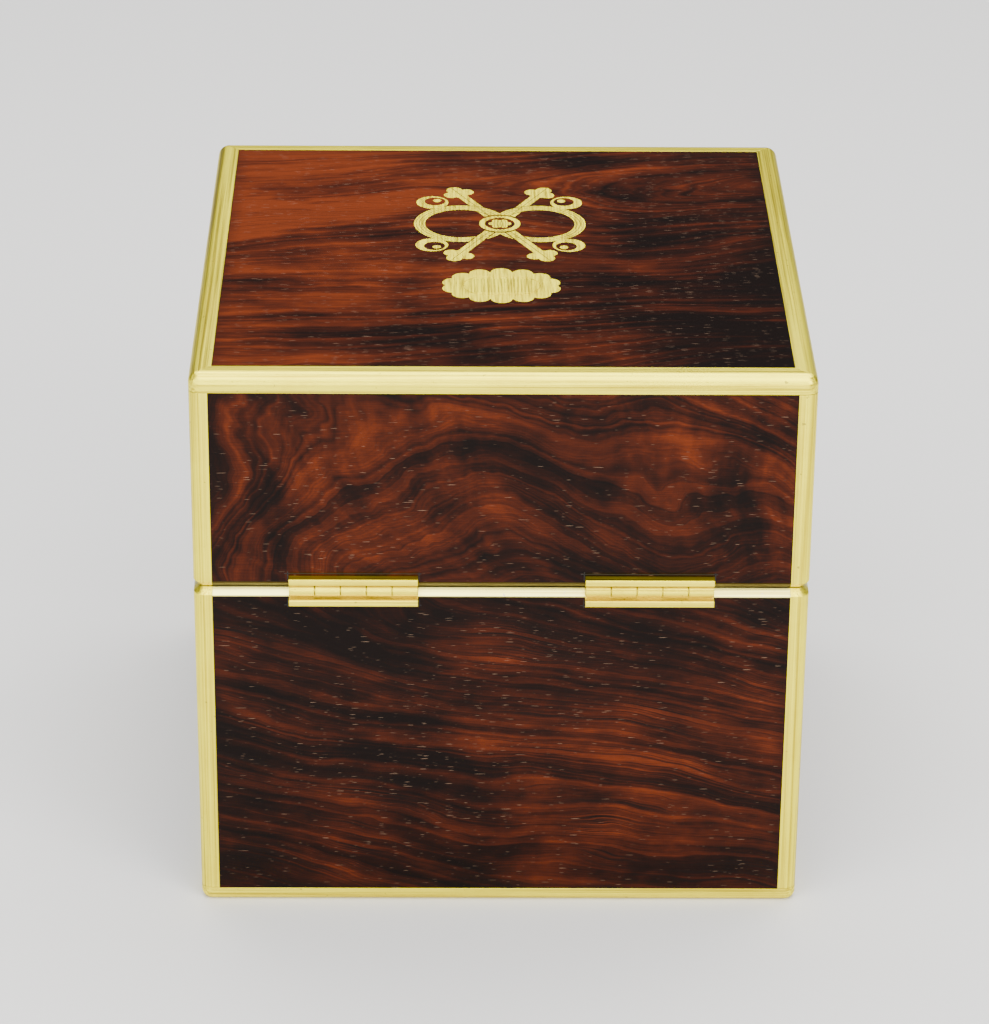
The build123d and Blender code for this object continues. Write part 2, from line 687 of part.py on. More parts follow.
SPOT_FACE = 70.5
HEAD_END = 72.7
with BuildPart() as gimbal_ring:
    with BuildSketch(Plane.XY.offset(GIMBAL_Z - RING_H / 2)):
        Circle(RING_OUT)
        Circle(RING_IN, mode=Mode.SUBTRACT)
    extrude(amount=RING_H)
    chamfer(gimbal_ring.edges().filter_by(GeomType.CIRCLE), 0.6)
    for side in (-1, 1):
        with Locations(Location((side * (RING_OUT + RING_BOSS_END) / 2, 0, GIMBAL_Z), (0, 90, 0))):
            Cylinder(4.0, RING_BOSS_END - RING_OUT + 1.5)
        with Locations(Location((0, side * (SPOT_FACE + 1.5), GIMBAL_Z), (90, 0, 0))):
            Cylinder(3.6, 3.0, mode=Mode.SUBTRACT)
    with Locations(Location((0, 0, GIMBAL_Z), (0, 90, 0))):
        Cylinder(PIVOT_BORE_R, CASE_W, mode=Mode.SUBTRACT)
    with Locations(Location((0, 0, GIMBAL_Z), (90, 0, 0))):
        Cylinder(PIVOT_R, CASE_W, mode=Mode.SUBTRACT)
finish(gimbal_ring.part, "gimbal_ring")

INNER_PIVOT_TIP = 54.6
with BuildPart() as gimbal_inner_pivots:
    for side in (-1, 1):
        with Locations(Location((0, side * (INNER_PIVOT_TIP + SPOT_FACE) / 2, GIMBAL_Z), (90, 0, 0))):
            Cylinder(PIVOT_R, SPOT_FACE - INNER_PIVOT_TIP)
        with Locations(Location((0, side * (SPOT_FACE + HEAD_END) / 2, GIMBAL_Z), (90, 0, 0))):
            Cylinder(3.2, HEAD_END - SPOT_FACE)
        slot = sorted((side * (HEAD_END - 0.8), side * (HEAD_END + 1)))
        block((-4, slot[0], GIMBAL_Z - 0.35), (4, slot[1], GIMBAL_Z + 0.35), mode=Mode.SUBTRACT)
finish(gimbal_inner_pivots.part, "gimbal_inner_pivots")

# ------------------------------------------------------------------ gimbal lock lever
POST_R, POST_BORE_R = 2.0, 2.05
LEVER_T = 3.4
LEVER_L = hypot(*LEVER_AT) - RING_OUT - 0.7  # just clear of the ring when swung across
with BuildPart() as gimbal_lock_bracket:
    x, y = LEVER_AT
    block((x - 11, -INNER, LEVER_Z - 5), (x + 11, -INNER + BRACKET_T, LEVER_Z + 7))
    block((x - 6, -INNER + BRACKET_T, LEVER_Z - 5), (x + 6, y, LEVER_Z - 2))
    with Locations((x, y, LEVER_Z - 3.5)):
        Cylinder(6, 3)
    with Locations((x, y, LEVER_Z + 1)):
        Cylinder(POST_R, 6.2)
    with Locations((x, y, LEVER_Z + LEVER_T / 2 + 1.0)):
        Cylinder(3.6, 1.2)
    drill(base_screws[20:22])
finish(gimbal_lock_bracket.part, "gimbal_lock_bracket")

with BuildPart() as gimbal_lock_lever:
    with BuildSketch(Plane.XY.offset(LEVER_Z - LEVER_T / 2)):
        with Locations(LEVER_AT):
            Circle(5)
            with Locations((-LEVER_L / 2, 0)):
                Rectangle(LEVER_L, 6)
        with Locations(LEVER_AT):
            Circle(POST_BORE_R, mode=Mode.SUBTRACT)
    extrude(amount=LEVER_T)
    with Locations((LEVER_AT[0] - LEVER_L + 7, LEVER_AT[1], LEVER_Z + LEVER_T / 2 + 2.5)):
        Cylinder(2.2, 5)
    with Locations((LEVER_AT[0] - LEVER_L + 7, LEVER_AT[1], LEVER_Z + LEVER_T / 2 + 6)):
        Sphere(3.2)
finish(gimbal_lock_lever.part, "gimbal_lock_lever")

# ------------------------------------------------------------------ winding key and its socket
KEY_R, SOCKET_BORE_R = 3.4, 3.45
FLANGE_T = 1.6
KEY_LOW = BOARD_T + 3.0
KEY_WING_Z = 62.0
with BuildPart() as key_socket:
    with Locations((*KEY_AT, BOARD_T + FLANGE_T / 2)):
        Cylinder(10.5, FLANGE_T)
    with Locations((*KEY_AT, BOARD_T + 11)):
        Cylinder(4.9, 22)
    with Locations((*KEY_AT, BOARD_T + 11 + 2)):
        Cylinder(SOCKET_BORE_R, 22, mode=Mode.SUBTRACT)
    drill(base_screws[22:])
finish(key_socket.part, "key_socket")

with BuildPart() as winding_key:
    with BuildSketch(Plane.XY.offset(KEY_LOW)):
        with Locations(KEY_AT):
            Circle(KEY_R)
            Rectangle(3.1, 3.1, mode=Mode.SUBTRACT)
    extrude(amount=20)
    with BuildSketch(Plane.XY.offset(KEY_LOW + 20)):
        with Locations(KEY_AT):
            Circle(KEY_R)
    extrude(amount=KEY_WING_Z - 6 - KEY_LOW - 20)
    with Locations((*KEY_AT, 34.6)):
        Cylinder(5.6, 3.0)
    wing_plane = Plane((*KEY_AT, 0), x_dir=(-1, 1, 0), z_dir=(1, 1, 0))
    with BuildSketch(wing_plane.offset(-1.4)):
        with Locations((0, KEY_WING_Z), (0, KEY_WING_Z)):
            Circle(6.4)
        with Locations((-6.2, KEY_WING_Z + 1), (6.2, KEY_WING_Z + 1)):
            Circle(5.6)
            Circle(2.3, mode=Mode.SUBTRACT)
    extrude(amount=2.8)
finish(winding_key.part, "winding_key")

# ------------------------------------------------------------------ bowl, bezel and glass
BOWL_T = 2.0
BOWL_LOW, BOWL_RIM = -52.0, 14.0  # heights from the gimbal axes, as all below
BOWL_FLAT_R = 28.0
LEDGE_R, LEDGE_LOW, LEDGE_TOP = 45.0, 0.0, 2.5
BOSS_END = 58.0
SHUTTER_PIVOT = (4.0, 14.0)
PILLAR_PLATE = (2.5, 5.0)
BACK_PLATE = (-22.0, -19.5)
DIAL = (7.0, 8.2)


def upper(height):
    """A height measured from the gimbal axes, in the case's own frame."""
    return GIMBAL_Z + height


def disc(place, radius, low, high, mode=Mode.ADD):
    """An upright cylinder at a plan position, between two heights from the gimbal axes."""
    with Locations((place[0], place[1], upper((low + high) / 2))):
        Cylinder(radius, high - low, mode=mode)


def meeting_point(first, first_reach, second, second_reach, side):
    """Where two reaches meet, left of the way from first to second for side 1, right for -1."""
    dx, dy = second[0] - first[0], second[1] - first[1]
    gap = hypot(dx, dy)
    along = (gap**2 + first_reach**2 - second_reach**2) / (2 * gap)
    across = side * sqrt(first_reach**2 - along**2)
    return (
        first[0] + (along * dx - across * dy) / gap,
        first[1] + (along * dy + across * dx) / gap,
    )


# teeth of each wheel and pinion, and the module of each mesh
GREAT_T, CENTRE_PINION_T, GREAT_M = 90, 12, 0.45
CENTRE_T, THIRD_PINION_T, CENTRE_M = 80, 10, 0.42
THIRD_T, FOURTH_PINION_T, THIRD_M = 75, 10, 0.4
FOURTH_T, ESCAPE_PINION_T, FOURTH_M = 80, 10, 0.36
CANNON_T, MINUTE_T, CANNON_M = 12, 36, 0.4
MINUTE_PINION_T, HOUR_T, HOUR_M = 10, 40, 0.384
POWER_PINION_T, POWER_T, POWER_M = 8, 72, 0.28


def centres(wheel, pinion, module):
    """Centre distance of a wheel and its pinion."""
    return (wheel + pinion) * module / 2


CENTRE_AT = (0.0, 0.0)
FOURTH_AT = (0.0, -23.0)  # middle of the seconds dial
POWER_AT = (0.0, 21.0)  # middle of the winding-state dial
FUSEE_AT = meeting_point(
    CENTRE_AT, centres(GREAT_T, CENTRE_PINION_T, GREAT_M),
    POWER_AT, centres(POWER_T, POWER_PINION_T, POWER_M), 1,
)
THIRD_AT = meeting_point(
    CENTRE_AT, centres(CENTRE_T, THIRD_PINION_T, CENTRE_M),
    FOURTH_AT, centres(THIRD_T, FOURTH_PINION_T, THIRD_M), 1,
)
ESCAPE_REACH = centres(FOURTH_T, ESCAPE_PINION_T, FOURTH_M)
ESCAPE_AT = (-13.9, FOURTH_AT[1] + sqrt(ESCAPE_REACH**2 - 13.9**2))
MINUTE_AT = (centres(MINUTE_T, CANNON_T, CANNON_M), 0.0)
BALANCE_AT = (-4.2, -10.6)
BARREL_AT = (22.5, 3.0)

with BuildPart() as bowl:
    with BuildSketch(Plane.XZ):
        with BuildLine():
            corner = BOWL_R - BOWL_FLAT_R
            mid = upper(BOWL_LOW) + corner
            Polyline(
                (BOWL_R, mid), (BOWL_R, upper(BOWL_RIM)), (BOWL_R - BOWL_T, upper(BOWL_RIM)),
                (BOWL_R - BOWL_T, upper(LEDGE_TOP)), (LEDGE_R, upper(LEDGE_TOP)),
                (LEDGE_R, upper(LEDGE_LOW)), (BOWL_R - BOWL_T, upper(LEDGE_LOW)),
                (BOWL_R - BOWL_T, mid),
            )
            CenterArc((BOWL_FLAT_R, mid), corner - BOWL_T, -90, 90)
            Polyline(
                (BOWL_FLAT_R, upper(BOWL_LOW) + BOWL_T), (0, upper(BOWL_LOW) + BOWL_T),
                (0, upper(BOWL_LOW)), (BOWL_FLAT_R, upper(BOWL_LOW)),
            )
            CenterArc((BOWL_FLAT_R, mid), corner, -90, 90)
        make_face()
    revolve(axis=Axis.Z)
    for side in (-1, 1):
        with Locations(Location((0, side * (BOWL_R - 1 + BOSS_END) / 2, GIMBAL_Z), (90, 0, 0))):
            Cylinder(4.6, BOSS_END - BOWL_R + 1)
        with Locations(Location((0, side * (INNER_PIVOT_TIP - 0.3 + BOSS_END) / 2, GIMBAL_Z), (90, 0, 0))):
            Cylinder(PIVOT_BORE_R, BOSS_END - INNER_PIVOT_TIP + 0.3, mode=Mode.SUBTRACT)
    disc(FUSEE_AT, 4.5, BOWL_LOW - 1, BOWL_LOW + 3, mode=Mode.SUBTRACT)
    disc(SHUTTER_PIVOT, 1.6, BOWL_LOW - 1.7, BOWL_LOW + 1)
    disc(SHUTTER_PIVOT, 2.6, BOWL_LOW - 2.5, BOWL_LOW - 1.65)
finish(bowl.part, "bowl")

SHUTTER_T = 1.2
with BuildPart() as winding_shutter:
    with BuildSketch(Plane.XY.offset(upper(BOWL_LOW - 0.1 - SHUTTER_T))):
        with Locations(FUSEE_AT):
            Circle(6.8)
        with Locations(SHUTTER_PIVOT):
            Circle(4.2)
        make_hull()
        with Locations(SHUTTER_PIVOT):
            Circle(1.65, mode=Mode.SUBTRACT)
    extrude(amount=SHUTTER_T)
    thumb = (FUSEE_AT[0] - 4.6, FUSEE_AT[1] - 2.0)
    disc(thumb, 1.2, BOWL_LOW - 0.1 - SHUTTER_T - 1.0, BOWL_LOW - 0.1 - SHUTTER_T)
finish(winding_shutter.part, "winding_shutter")

BEZEL_R, BEZEL_LOW, BEZEL_TOP = 57.0, 9.0, 20.0
GLASS_R, GLASS_LOW, GLASS_TOP = 51.8, 14.6, 17.2
SIGHT_R = 50.3
KNURLS = 120
with BuildPart() as bezel:
    with BuildSketch(Plane.XZ):
        Polygon(
            (BOWL_R, upper(BEZEL_LOW)), (BEZEL_R, upper(BEZEL_LOW)), (BEZEL_R, upper(13.6)),
            (BEZEL_R - 0.8, upper(14.4)), (BEZEL_R - 0.8, upper(18.4)), (BEZEL_R - 2.4, upper(BEZEL_TOP)),
            (SIGHT_R + 1.4, upper(BEZEL_TOP)), (SIGHT_R, upper(BEZEL_TOP - 1.4)),
            (SIGHT_R, upper(GLASS_TOP)), (GLASS_R, upper(GLASS_TOP)), (GLASS_R, upper(GLASS_LOW)),
            (SIGHT_R, upper(GLASS_LOW)), (SIGHT_R, upper(BOWL_RIM)), (BOWL_R, upper(BOWL_RIM)),
            align=None,
        )
    revolve(axis=Axis.Z)
    with BuildSketch(Plane.XY.offset(upper(BEZEL_LOW + 0.5))):
        groove, crest = BEZEL_R - 0.3, BEZEL_R + 0.35
        edge = []
        for k in range(KNURLS):
            for part_turn, r in ((-0.3, groove), (-0.1, crest), (0.1, crest), (0.3, groove)):
                turn = 2 * pi * (k + part_turn) / KNURLS
                edge.append((r * cos(turn), r * sin(turn)))
        Polygon(*edge, align=None)
        Circle(BEZEL_R - 1.5, mode=Mode.SUBTRACT)
    extrude(amount=3.6)
finish(bezel.part, "bezel")

with BuildPart() as crystal:
    disc((0, 0), GLASS_R, GLASS_LOW, GLASS_TOP)
    chamfer(crystal.edges().filter_by(GeomType.CIRCLE), 0.3)
finish(crystal.part, "crystal")

# ------------------------------------------------------------------ plates of the movement
PIVOT_HOLE, STOUT_HOLE = 0.6, 1.0
PILLAR_R = 38.0
pillar_spots = [
    (PILLAR_R * cos(a * pi / 180), PILLAR_R * sin(a * pi / 180)) for a in (50, 175, 245, 310)
]
PILLAR_TAIL = 1.4
DIAL_FOOT_R = 43.0
dial_feet = [
    (DIAL_FOOT_R * cos(a * pi / 180), DIAL_FOOT_R * sin(a * pi / 180)) for a in (30, 150, 270)
]
SMALL_ARBORS = (THIRD_AT, ESCAPE_AT)

with BuildPart() as pillar_plate:
    disc((0, 0), 47.0, *PILLAR_PLATE)
    for spot in SMALL_ARBORS:
        disc(spot, PIVOT_HOLE, *PILLAR_PLATE, mode=Mode.SUBTRACT)
    for spot in (CENTRE_AT, FOURTH_AT):
        disc(spot, STOUT_HOLE, *PILLAR_PLATE, mode=Mode.SUBTRACT)
    for spot in (FUSEE_AT, BARREL_AT):
        disc(spot, 1.25, *PILLAR_PLATE, mode=Mode.SUBTRACT)
    for spot in pillar_spots:
        disc(spot, PILLAR_TAIL, *PILLAR_PLATE, mode=Mode.SUBTRACT)
    for spot in (MINUTE_AT, POWER_AT):
        disc(spot, 0.7, PILLAR_PLATE[1] - 1, PILLAR_PLATE[1] + 1.9)
    for spot in pillar_spots:
        disc(spot, 2.6, BACK_PLATE[1], PILLAR_PLATE[0])
        disc(spot, PILLAR_TAIL, PILLAR_PLATE[0], PILLAR_PLATE[1])
        disc(spot, PILLAR_TAIL, BACK_PLATE[0] - 2.6, BACK_PLATE[1])
finish(pillar_plate.part, "pillar_plate")

NUT_T = 2.2
POTENCE = (-11.6, -9.8)
POTENCE_FOOT = (-9.0, -1.0)
with BuildPart() as back_plate:
    disc((0, 0), 44.0, *BACK_PLATE)
    for spot in SMALL_ARBORS + (FOURTH_AT,):
        disc(spot, PIVOT_HOLE, *BACK_PLATE, mode=Mode.SUBTRACT)
    disc(CENTRE_AT, STOUT_HOLE, *BACK_PLATE, mode=Mode.SUBTRACT)
    disc(FUSEE_AT, 2.6, *BACK_PLATE, mode=Mode.SUBTRACT)
    disc(BARREL_AT, 1.25, *BACK_PLATE, mode=Mode.SUBTRACT)
    disc(BALANCE_AT, 2.2, *BACK_PLATE, mode=Mode.SUBTRACT)
    for spot in pillar_spots:
        disc(spot, PILLAR_TAIL, *BACK_PLATE, mode=Mode.SUBTRACT)
    disc(POTENCE_FOOT, 2.2, BACK_PLATE[1] - 0.5, POTENCE[1])
    with BuildSketch(Plane.XY.offset(upper(POTENCE[0]))):
        with Locations(POTENCE_FOOT, BALANCE_AT):
            Circle(2.2)
        make_hull()
    extrude(amount=POTENCE[1] - POTENCE[0])
    disc(BALANCE_AT, 0.5, *POTENCE, mode=Mode.SUBTRACT)
    for spot in pillar_spots:
        with BuildSketch(Plane.XY.offset(upper(BACK_PLATE[0] - NUT_T))):
            with Locations(spot):
                RegularPolygon(3.2, 6)
                Circle(PILLAR_TAIL, mode=Mode.SUBTRACT)
        extrude(amount=NUT_T)
finish(back_plate.part, "back_plate")

COCK = (-43.0, -40.0)
COCK_FOOT, COCK_FOOT_R = (-23.0, -17.4), 3.5
with BuildPart() as balance_cock:
    disc(COCK_FOOT, COCK_FOOT_R, COCK[0], BACK_PLATE[0])
    with BuildSketch(Plane.XY.offset(upper(COCK[0]))):
        with Locations(COCK_FOOT):
            Circle(COCK_FOOT_R)
        with Locations(BALANCE_AT):
            Circle(3.0)
        make_hull()
    extrude(amount=COCK[1] - COCK[0])
    disc(BALANCE_AT, 0.5, *COCK, mode=Mode.SUBTRACT)
finish(balance_cock.part, "balance_cock")

# ------------------------------------------------------------------ dial
with BuildPart() as dial:
    disc((0, 0), 50.0, *DIAL)
    disc(CENTRE_AT, 2.9, *DIAL, mode=Mode.SUBTRACT)
    for spot in (FOURTH_AT, POWER_AT):
        disc(spot, 1.4, *DIAL, mode=Mode.SUBTRACT)
    disc(FOURTH_AT, 16.5, DIAL[1] - 0.3, DIAL[1], mode=Mode.SUBTRACT)
    disc(POWER_AT, 10.5, DIAL[1] - 0.3, DIAL[1], mode=Mode.SUBTRACT)
    for spot in dial_feet:
        disc(spot, 1.2, PILLAR_PLATE[1], DIAL[0])
finish(dial.part, "dial")


# ------------------------------------------------------------------ wheels and pinions
# For each tooth: its height above and depth below the pitch circle, and its width on the
# pitch circle, at its tip and at its root, all in modules.
WHEEL_TOOTH = (0.85, 1.0, 0.69, 0.275, 0.875)
PINION_TOOTH = (0.55, 1.25, 0.575, 0.3, 0.475)


def toothed_outline(teeth, module, form, turn):
    """The corners of a straight-sided toothed rim. A tooth stands at the angle turn, in degrees."""
    tip, root, half_pitch, half_tip, half_root = form
    pitch_r = teeth * module / 2
    corners = (
        (pitch_r - root * module, -half_root),
        (pitch_r, -half_pitch),
        (pitch_r + tip * module, -half_tip),
        (pitch_r + tip * module, half_tip),
        (pitch_r, half_pitch),
        (pitch_r - root * module, half_root),
    )
    outline = []
    for k in range(teeth):
        for r, half_width in corners:
            a = turn * pi / 180 + 2 * pi * k / teeth + half_width * module / r
            outline.append((r * cos(a), r * sin(a)))
    return outline


def bearing(start, end):
    """Direction from one arbor to another, in degrees."""
    return atan2(end[1] - start[1], end[0] - start[0]) * 180 / pi


def wheel(place, teeth, module, levels, mate, arms=5, hub=2.6):
    """A crossed-out wheel, a tooth of it facing its mate's arbor."""
    with BuildSketch(Plane.XY.offset(upper(levels[0]))) as face:
        with Locations(place):
            Polygon(*toothed_outline(teeth, module, WHEEL_TOOTH, bearing(place, mate)), align=None)
            Circle(teeth * module / 2 - 2.6 * module - 0.4, mode=Mode.SUBTRACT)
            Circle(hub)
            with PolarLocations(0, arms):
                rim = teeth * module / 2 - 2 * module
                with Locations((rim / 2, 0)):
                    Rectangle(rim, 1.3)
    extrude(face.sketch, amount=levels[1] - levels[0])


def pinion(place, leaves, module, levels, mate):
    """A pinion, a gap of it facing its mate's arbor."""
    turn = bearing(mate, place) + 180 + 180 / leaves
    with BuildSketch(Plane.XY.offset(upper(levels[0]))) as face:
        with Locations(place):
            Polygon(*toothed_outline(leaves, module, PINION_TOOTH, turn), align=None)
    extrude(face.sketch, amount=levels[1] - levels[0])


ARBOR_R, PIVOT_TIP_R = 0.9, 0.55
PLATE_GAP = 0.15  # end shake between an arbor's shoulder and the plate


def arbor(place, low_end, high_end, radius=ARBOR_R):
    """An arbor between the plates with a pivot at each end."""
    disc(place, radius, BACK_PLATE[1] + PLATE_GAP, PILLAR_PLATE[0] - PLATE_GAP)
    disc(place, PIVOT_TIP_R, low_end, BACK_PLATE[1] + PLATE_GAP)
    disc(place, PIVOT_TIP_R, PILLAR_PLATE[0] - PLATE_GAP, high_end)


LOW_PIVOT, HIGH_PIVOT = BACK_PLATE[0] + 0.2, PILLAR_PLATE[1] - 0.2
with BuildPart() as great_wheel:
    wheel(FUSEE_AT, GREAT_T, GREAT_M, (-3.5, -2.0), CENTRE_AT, arms=6, hub=5.0)
    disc(FUSEE_AT, 1.45, -4, 0, mode=Mode.SUBTRACT)
finish(great_wheel.part, "great_wheel")

MINUTE_HAND = (10.3, 10.7)
HOUR_HAND = (9.1, 9.5)
with BuildPart() as centre_wheel:
    wheel(CENTRE_AT, CENTRE_T, CENTRE_M, (0.2, 1.4), THIRD_AT)
    pinion(CENTRE_AT, CENTRE_PINION_T, GREAT_M, (-5.0, -1.0), FUSEE_AT)
    disc(CENTRE_AT, ARBOR_R, LOW_PIVOT, MINUTE_HAND[0])
    disc(CENTRE_AT, 0.8, MINUTE_HAND[0], MINUTE_HAND[1] + 0.4)
    pinion(CENTRE_AT, CANNON_T, CANNON_M, (5.2, 5.9), MINUTE_AT)
finish(centre_wheel.part, "centre_wheel")

with BuildPart() as third_wheel:
    wheel(THIRD_AT, THIRD_T, THIRD_M, (-3.6, -2.6), FOURTH_AT)
    pinion(THIRD_AT, THIRD_PINION_T, CENTRE_M, (-0.6, 2.0), CENTRE_AT)
    arbor(THIRD_AT, LOW_PIVOT, HIGH_PIVOT)
finish(third_wheel.part, "third_wheel")

SECONDS_HAND = (8.6, 9.0)
with BuildPart() as fourth_wheel:
    wheel(FOURTH_AT, FOURTH_T, FOURTH_M, (-8.5, -7.5), ESCAPE_AT)
    pinion(FOURTH_AT, FOURTH_PINION_T, THIRD_M, (-5.0, -1.6), THIRD_AT)
    disc(FOURTH_AT, ARBOR_R, BACK_PLATE[1] + PLATE_GAP, SECONDS_HAND[0])
    disc(FOURTH_AT, PIVOT_TIP_R, LOW_PIVOT, BACK_PLATE[1] + PLATE_GAP)
    disc(FOURTH_AT, 0.5, SECONDS_HAND[0], SECONDS_HAND[1])
finish(fourth_wheel.part, "fourth_wheel")

ESCAPE_TEETH, ESCAPE_R = 15, 7.0
with BuildPart() as escape_wheel:
    pinion(ESCAPE_AT, ESCAPE_PINION_T, FOURTH_M, (-10.0, -6.5), FOURTH_AT)
    arbor(ESCAPE_AT, LOW_PIVOT, HIGH_PIVOT)
    with BuildSketch(Plane.XY.offset(upper(-16.0))):
        with Locations(ESCAPE_AT):
            outline = []
            for k in range(ESCAPE_TEETH):
                turn = 2 * pi * k / ESCAPE_TEETH
                for root, lead in ((1.9, 0.0), (0, 0.02), (0, 0.05), (1.5, 0.2)):
                    r = ESCAPE_R - root
                    outline.append((r * cos(turn + lead), r * sin(turn + lead)))
            Polygon(*outline, align=None)
            Circle(ESCAPE_R - 3.0, mode=Mode.SUBTRACT)
            Circle(1.8)
            with PolarLocations(0, 4):
                with Locations(((ESCAPE_R - 2.4) / 2, 0)):
                    Rectangle(ESCAPE_R - 2.4, 0.8)
    extrude(amount=1.0)
finish(escape_wheel.part, "escape_wheel")

with BuildPart() as minute_wheel:
    wheel(MINUTE_AT, MINUTE_T, CANNON_M, (5.2, 5.9), CENTRE_AT, arms=4, hub=2.4)
    pinion(MINUTE_AT, MINUTE_PINION_T, HOUR_M, (5.9, 6.7), CENTRE_AT)
    disc(MINUTE_AT, 0.75, 5.0, 6.9, mode=Mode.SUBTRACT)
finish(minute_wheel.part, "minute_wheel")

# ------------------------------------------------------------------ fusee, chain and barrel
FUSEE_LOW, FUSEE_HIGH = -18.0, -4.2
FUSEE_SMALL_R, FUSEE_LARGE_R = 7.0, 14.0
CHAIN_TURNS = 8
CHAIN_PITCH = (FUSEE_HIGH - FUSEE_LOW - 1.6) / CHAIN_TURNS
SQUARE, SQUARE_END = 2.8, -46.0
with BuildPart() as fusee:
    with BuildSketch(Plane.XZ):
        with BuildLine():
            profile = [(1.4, upper(FUSEE_LOW)), (FUSEE_SMALL_R + 1.6, upper(FUSEE_LOW))]
            for k in range(CHAIN_TURNS):
                share = (k + 0.5) / CHAIN_TURNS
                r = FUSEE_SMALL_R + (FUSEE_LARGE_R - FUSEE_SMALL_R) * sqrt(share)
                z = upper(FUSEE_LOW + 0.8 + k * CHAIN_PITCH)
                profile += [(r + 0.5, z), (r - 0.1, z + 0.25), (r - 0.1, z + CHAIN_PITCH - 0.25)]
            flange_r = FUSEE_LARGE_R + 1.4
            profile += [(flange_r, upper(FUSEE_HIGH - 0.8)), (flange_r, upper(FUSEE_HIGH))]
            profile += [(1.4, upper(FUSEE_HIGH))]
            Polyline(*profile, close=True)
        make_face()
    revolve(axis=Axis.Z)
    disc((0, 0), 1.4, BACK_PLATE[1] + PLATE_GAP, PILLAR_PLATE[0] - PLATE_GAP)
    disc((0, 0), 1.2, PILLAR_PLATE[0] - PLATE_GAP, 5.3)
    to_power = (POWER_AT[0] - FUSEE_AT[0], POWER_AT[1] - FUSEE_AT[1])
    pinion((0, 0), POWER_PINION_T, POWER_M, (5.3, 6.1), to_power)
    disc((0, 0), 2.5, BACK_PLATE[0] - 0.5, BACK_PLATE[1] + PLATE_GAP)
    with BuildSketch(Plane.XY.offset(upper(SQUARE_END))):
        Rectangle(SQUARE, SQUARE)
    extrude(amount=BACK_PLATE[0] - 0.5 - SQUARE_END)
finish(Pos(FUSEE_AT[0], FUSEE_AT[1], 0) * fusee.part, "fusee")

CHAIN_R = 0.45
chain_normal = (BARREL_AT[1] - FUSEE_AT[1], FUSEE_AT[0] - BARREL_AT[0])
chain_reach = hypot(*chain_normal)
outward = (-chain_normal[0] / chain_reach, -chain_normal[1] / chain_reach)
BARREL_R_OUT, BARREL_LOW, BARREL_HIGH = 16.0, -18.5, -5.5
CHAIN_Z = -12.0
chain_on_fusee = FUSEE_SMALL_R + (FUSEE_LARGE_R - FUSEE_SMALL_R) * sqrt(0.5) + 0.7 + CHAIN_R
chain_on_barrel = BARREL_R_OUT + 0.1 + CHAIN_R
with BuildPart() as fusee_chain:
    start = (FUSEE_AT[0] + outward[0] * chain_on_fusee, FUSEE_AT[1] + outward[1] * chain_on_fusee)
    end = (BARREL_AT[0] + outward[0] * chain_on_barrel, BARREL_AT[1] + outward[1] * chain_on_barrel)
    run = hypot(end[0] - start[0], end[1] - start[1])
    lie = atan2(end[1] - start[1], end[0] - start[0]) * 180 / pi
    links = 18
    for k in range(links):
        share = (k + 0.5) / links
        x = start[0] + (end[0] - start[0]) * share
        y = start[1] + (end[1] - start[1]) * share
        with Locations(Location((x, y, upper(CHAIN_Z)), (0, 0, lie))):
            Box(run / links, 2 * CHAIN_R, 0.5 if k % 2 else 1.1)
finish(fusee_chain.part, "fusee_chain")

with BuildPart() as barrel:
    disc(BARREL_AT, BARREL_R_OUT, BARREL_LOW, BARREL_HIGH)
    disc(BARREL_AT, BARREL_R_OUT - 1.0, BARREL_LOW + 1, BARREL_HIGH - 1, mode=Mode.SUBTRACT)
    disc(BARREL_AT, 4.0, BARREL_LOW, BARREL_HIGH)
    disc(BARREL_AT, 1.5, BACK_PLATE[1] + PLATE_GAP, PILLAR_PLATE[0] - PLATE_GAP)
    disc(BARREL_AT, 1.2, LOW_PIVOT, HIGH_PIVOT)
finish(barrel.part, "barrel")

SPRING_COILS, SPRING_T = 7, 0.45
SPRING_INNER, SPRING_OUTER = 4.2, 14.4  # inner face of the strip at its two ends
COIL_STEPS = 28
strip_in, strip_out = [], []
for step in range(SPRING_COILS * COIL_STEPS + 1):
    share = step / (SPRING_COILS * COIL_STEPS)
    turn = 2 * pi * step / COIL_STEPS
    r = SPRING_INNER + (SPRING_OUTER - SPRING_INNER) * share
    strip_in.append((r * cos(turn), r * sin(turn)))
    strip_out.append(((r + SPRING_T) * cos(turn), (r + SPRING_T) * sin(turn)))
with BuildPart() as mainspring:
    with BuildSketch(Plane.XY.offset(upper(BARREL_LOW + 1.4))):
        with Locations(BARREL_AT):
            Polygon(*strip_in, *reversed(strip_out), align=None)
    extrude(amount=BARREL_HIGH - BARREL_LOW - 2.8)
finish(mainspring.part, "mainspring")

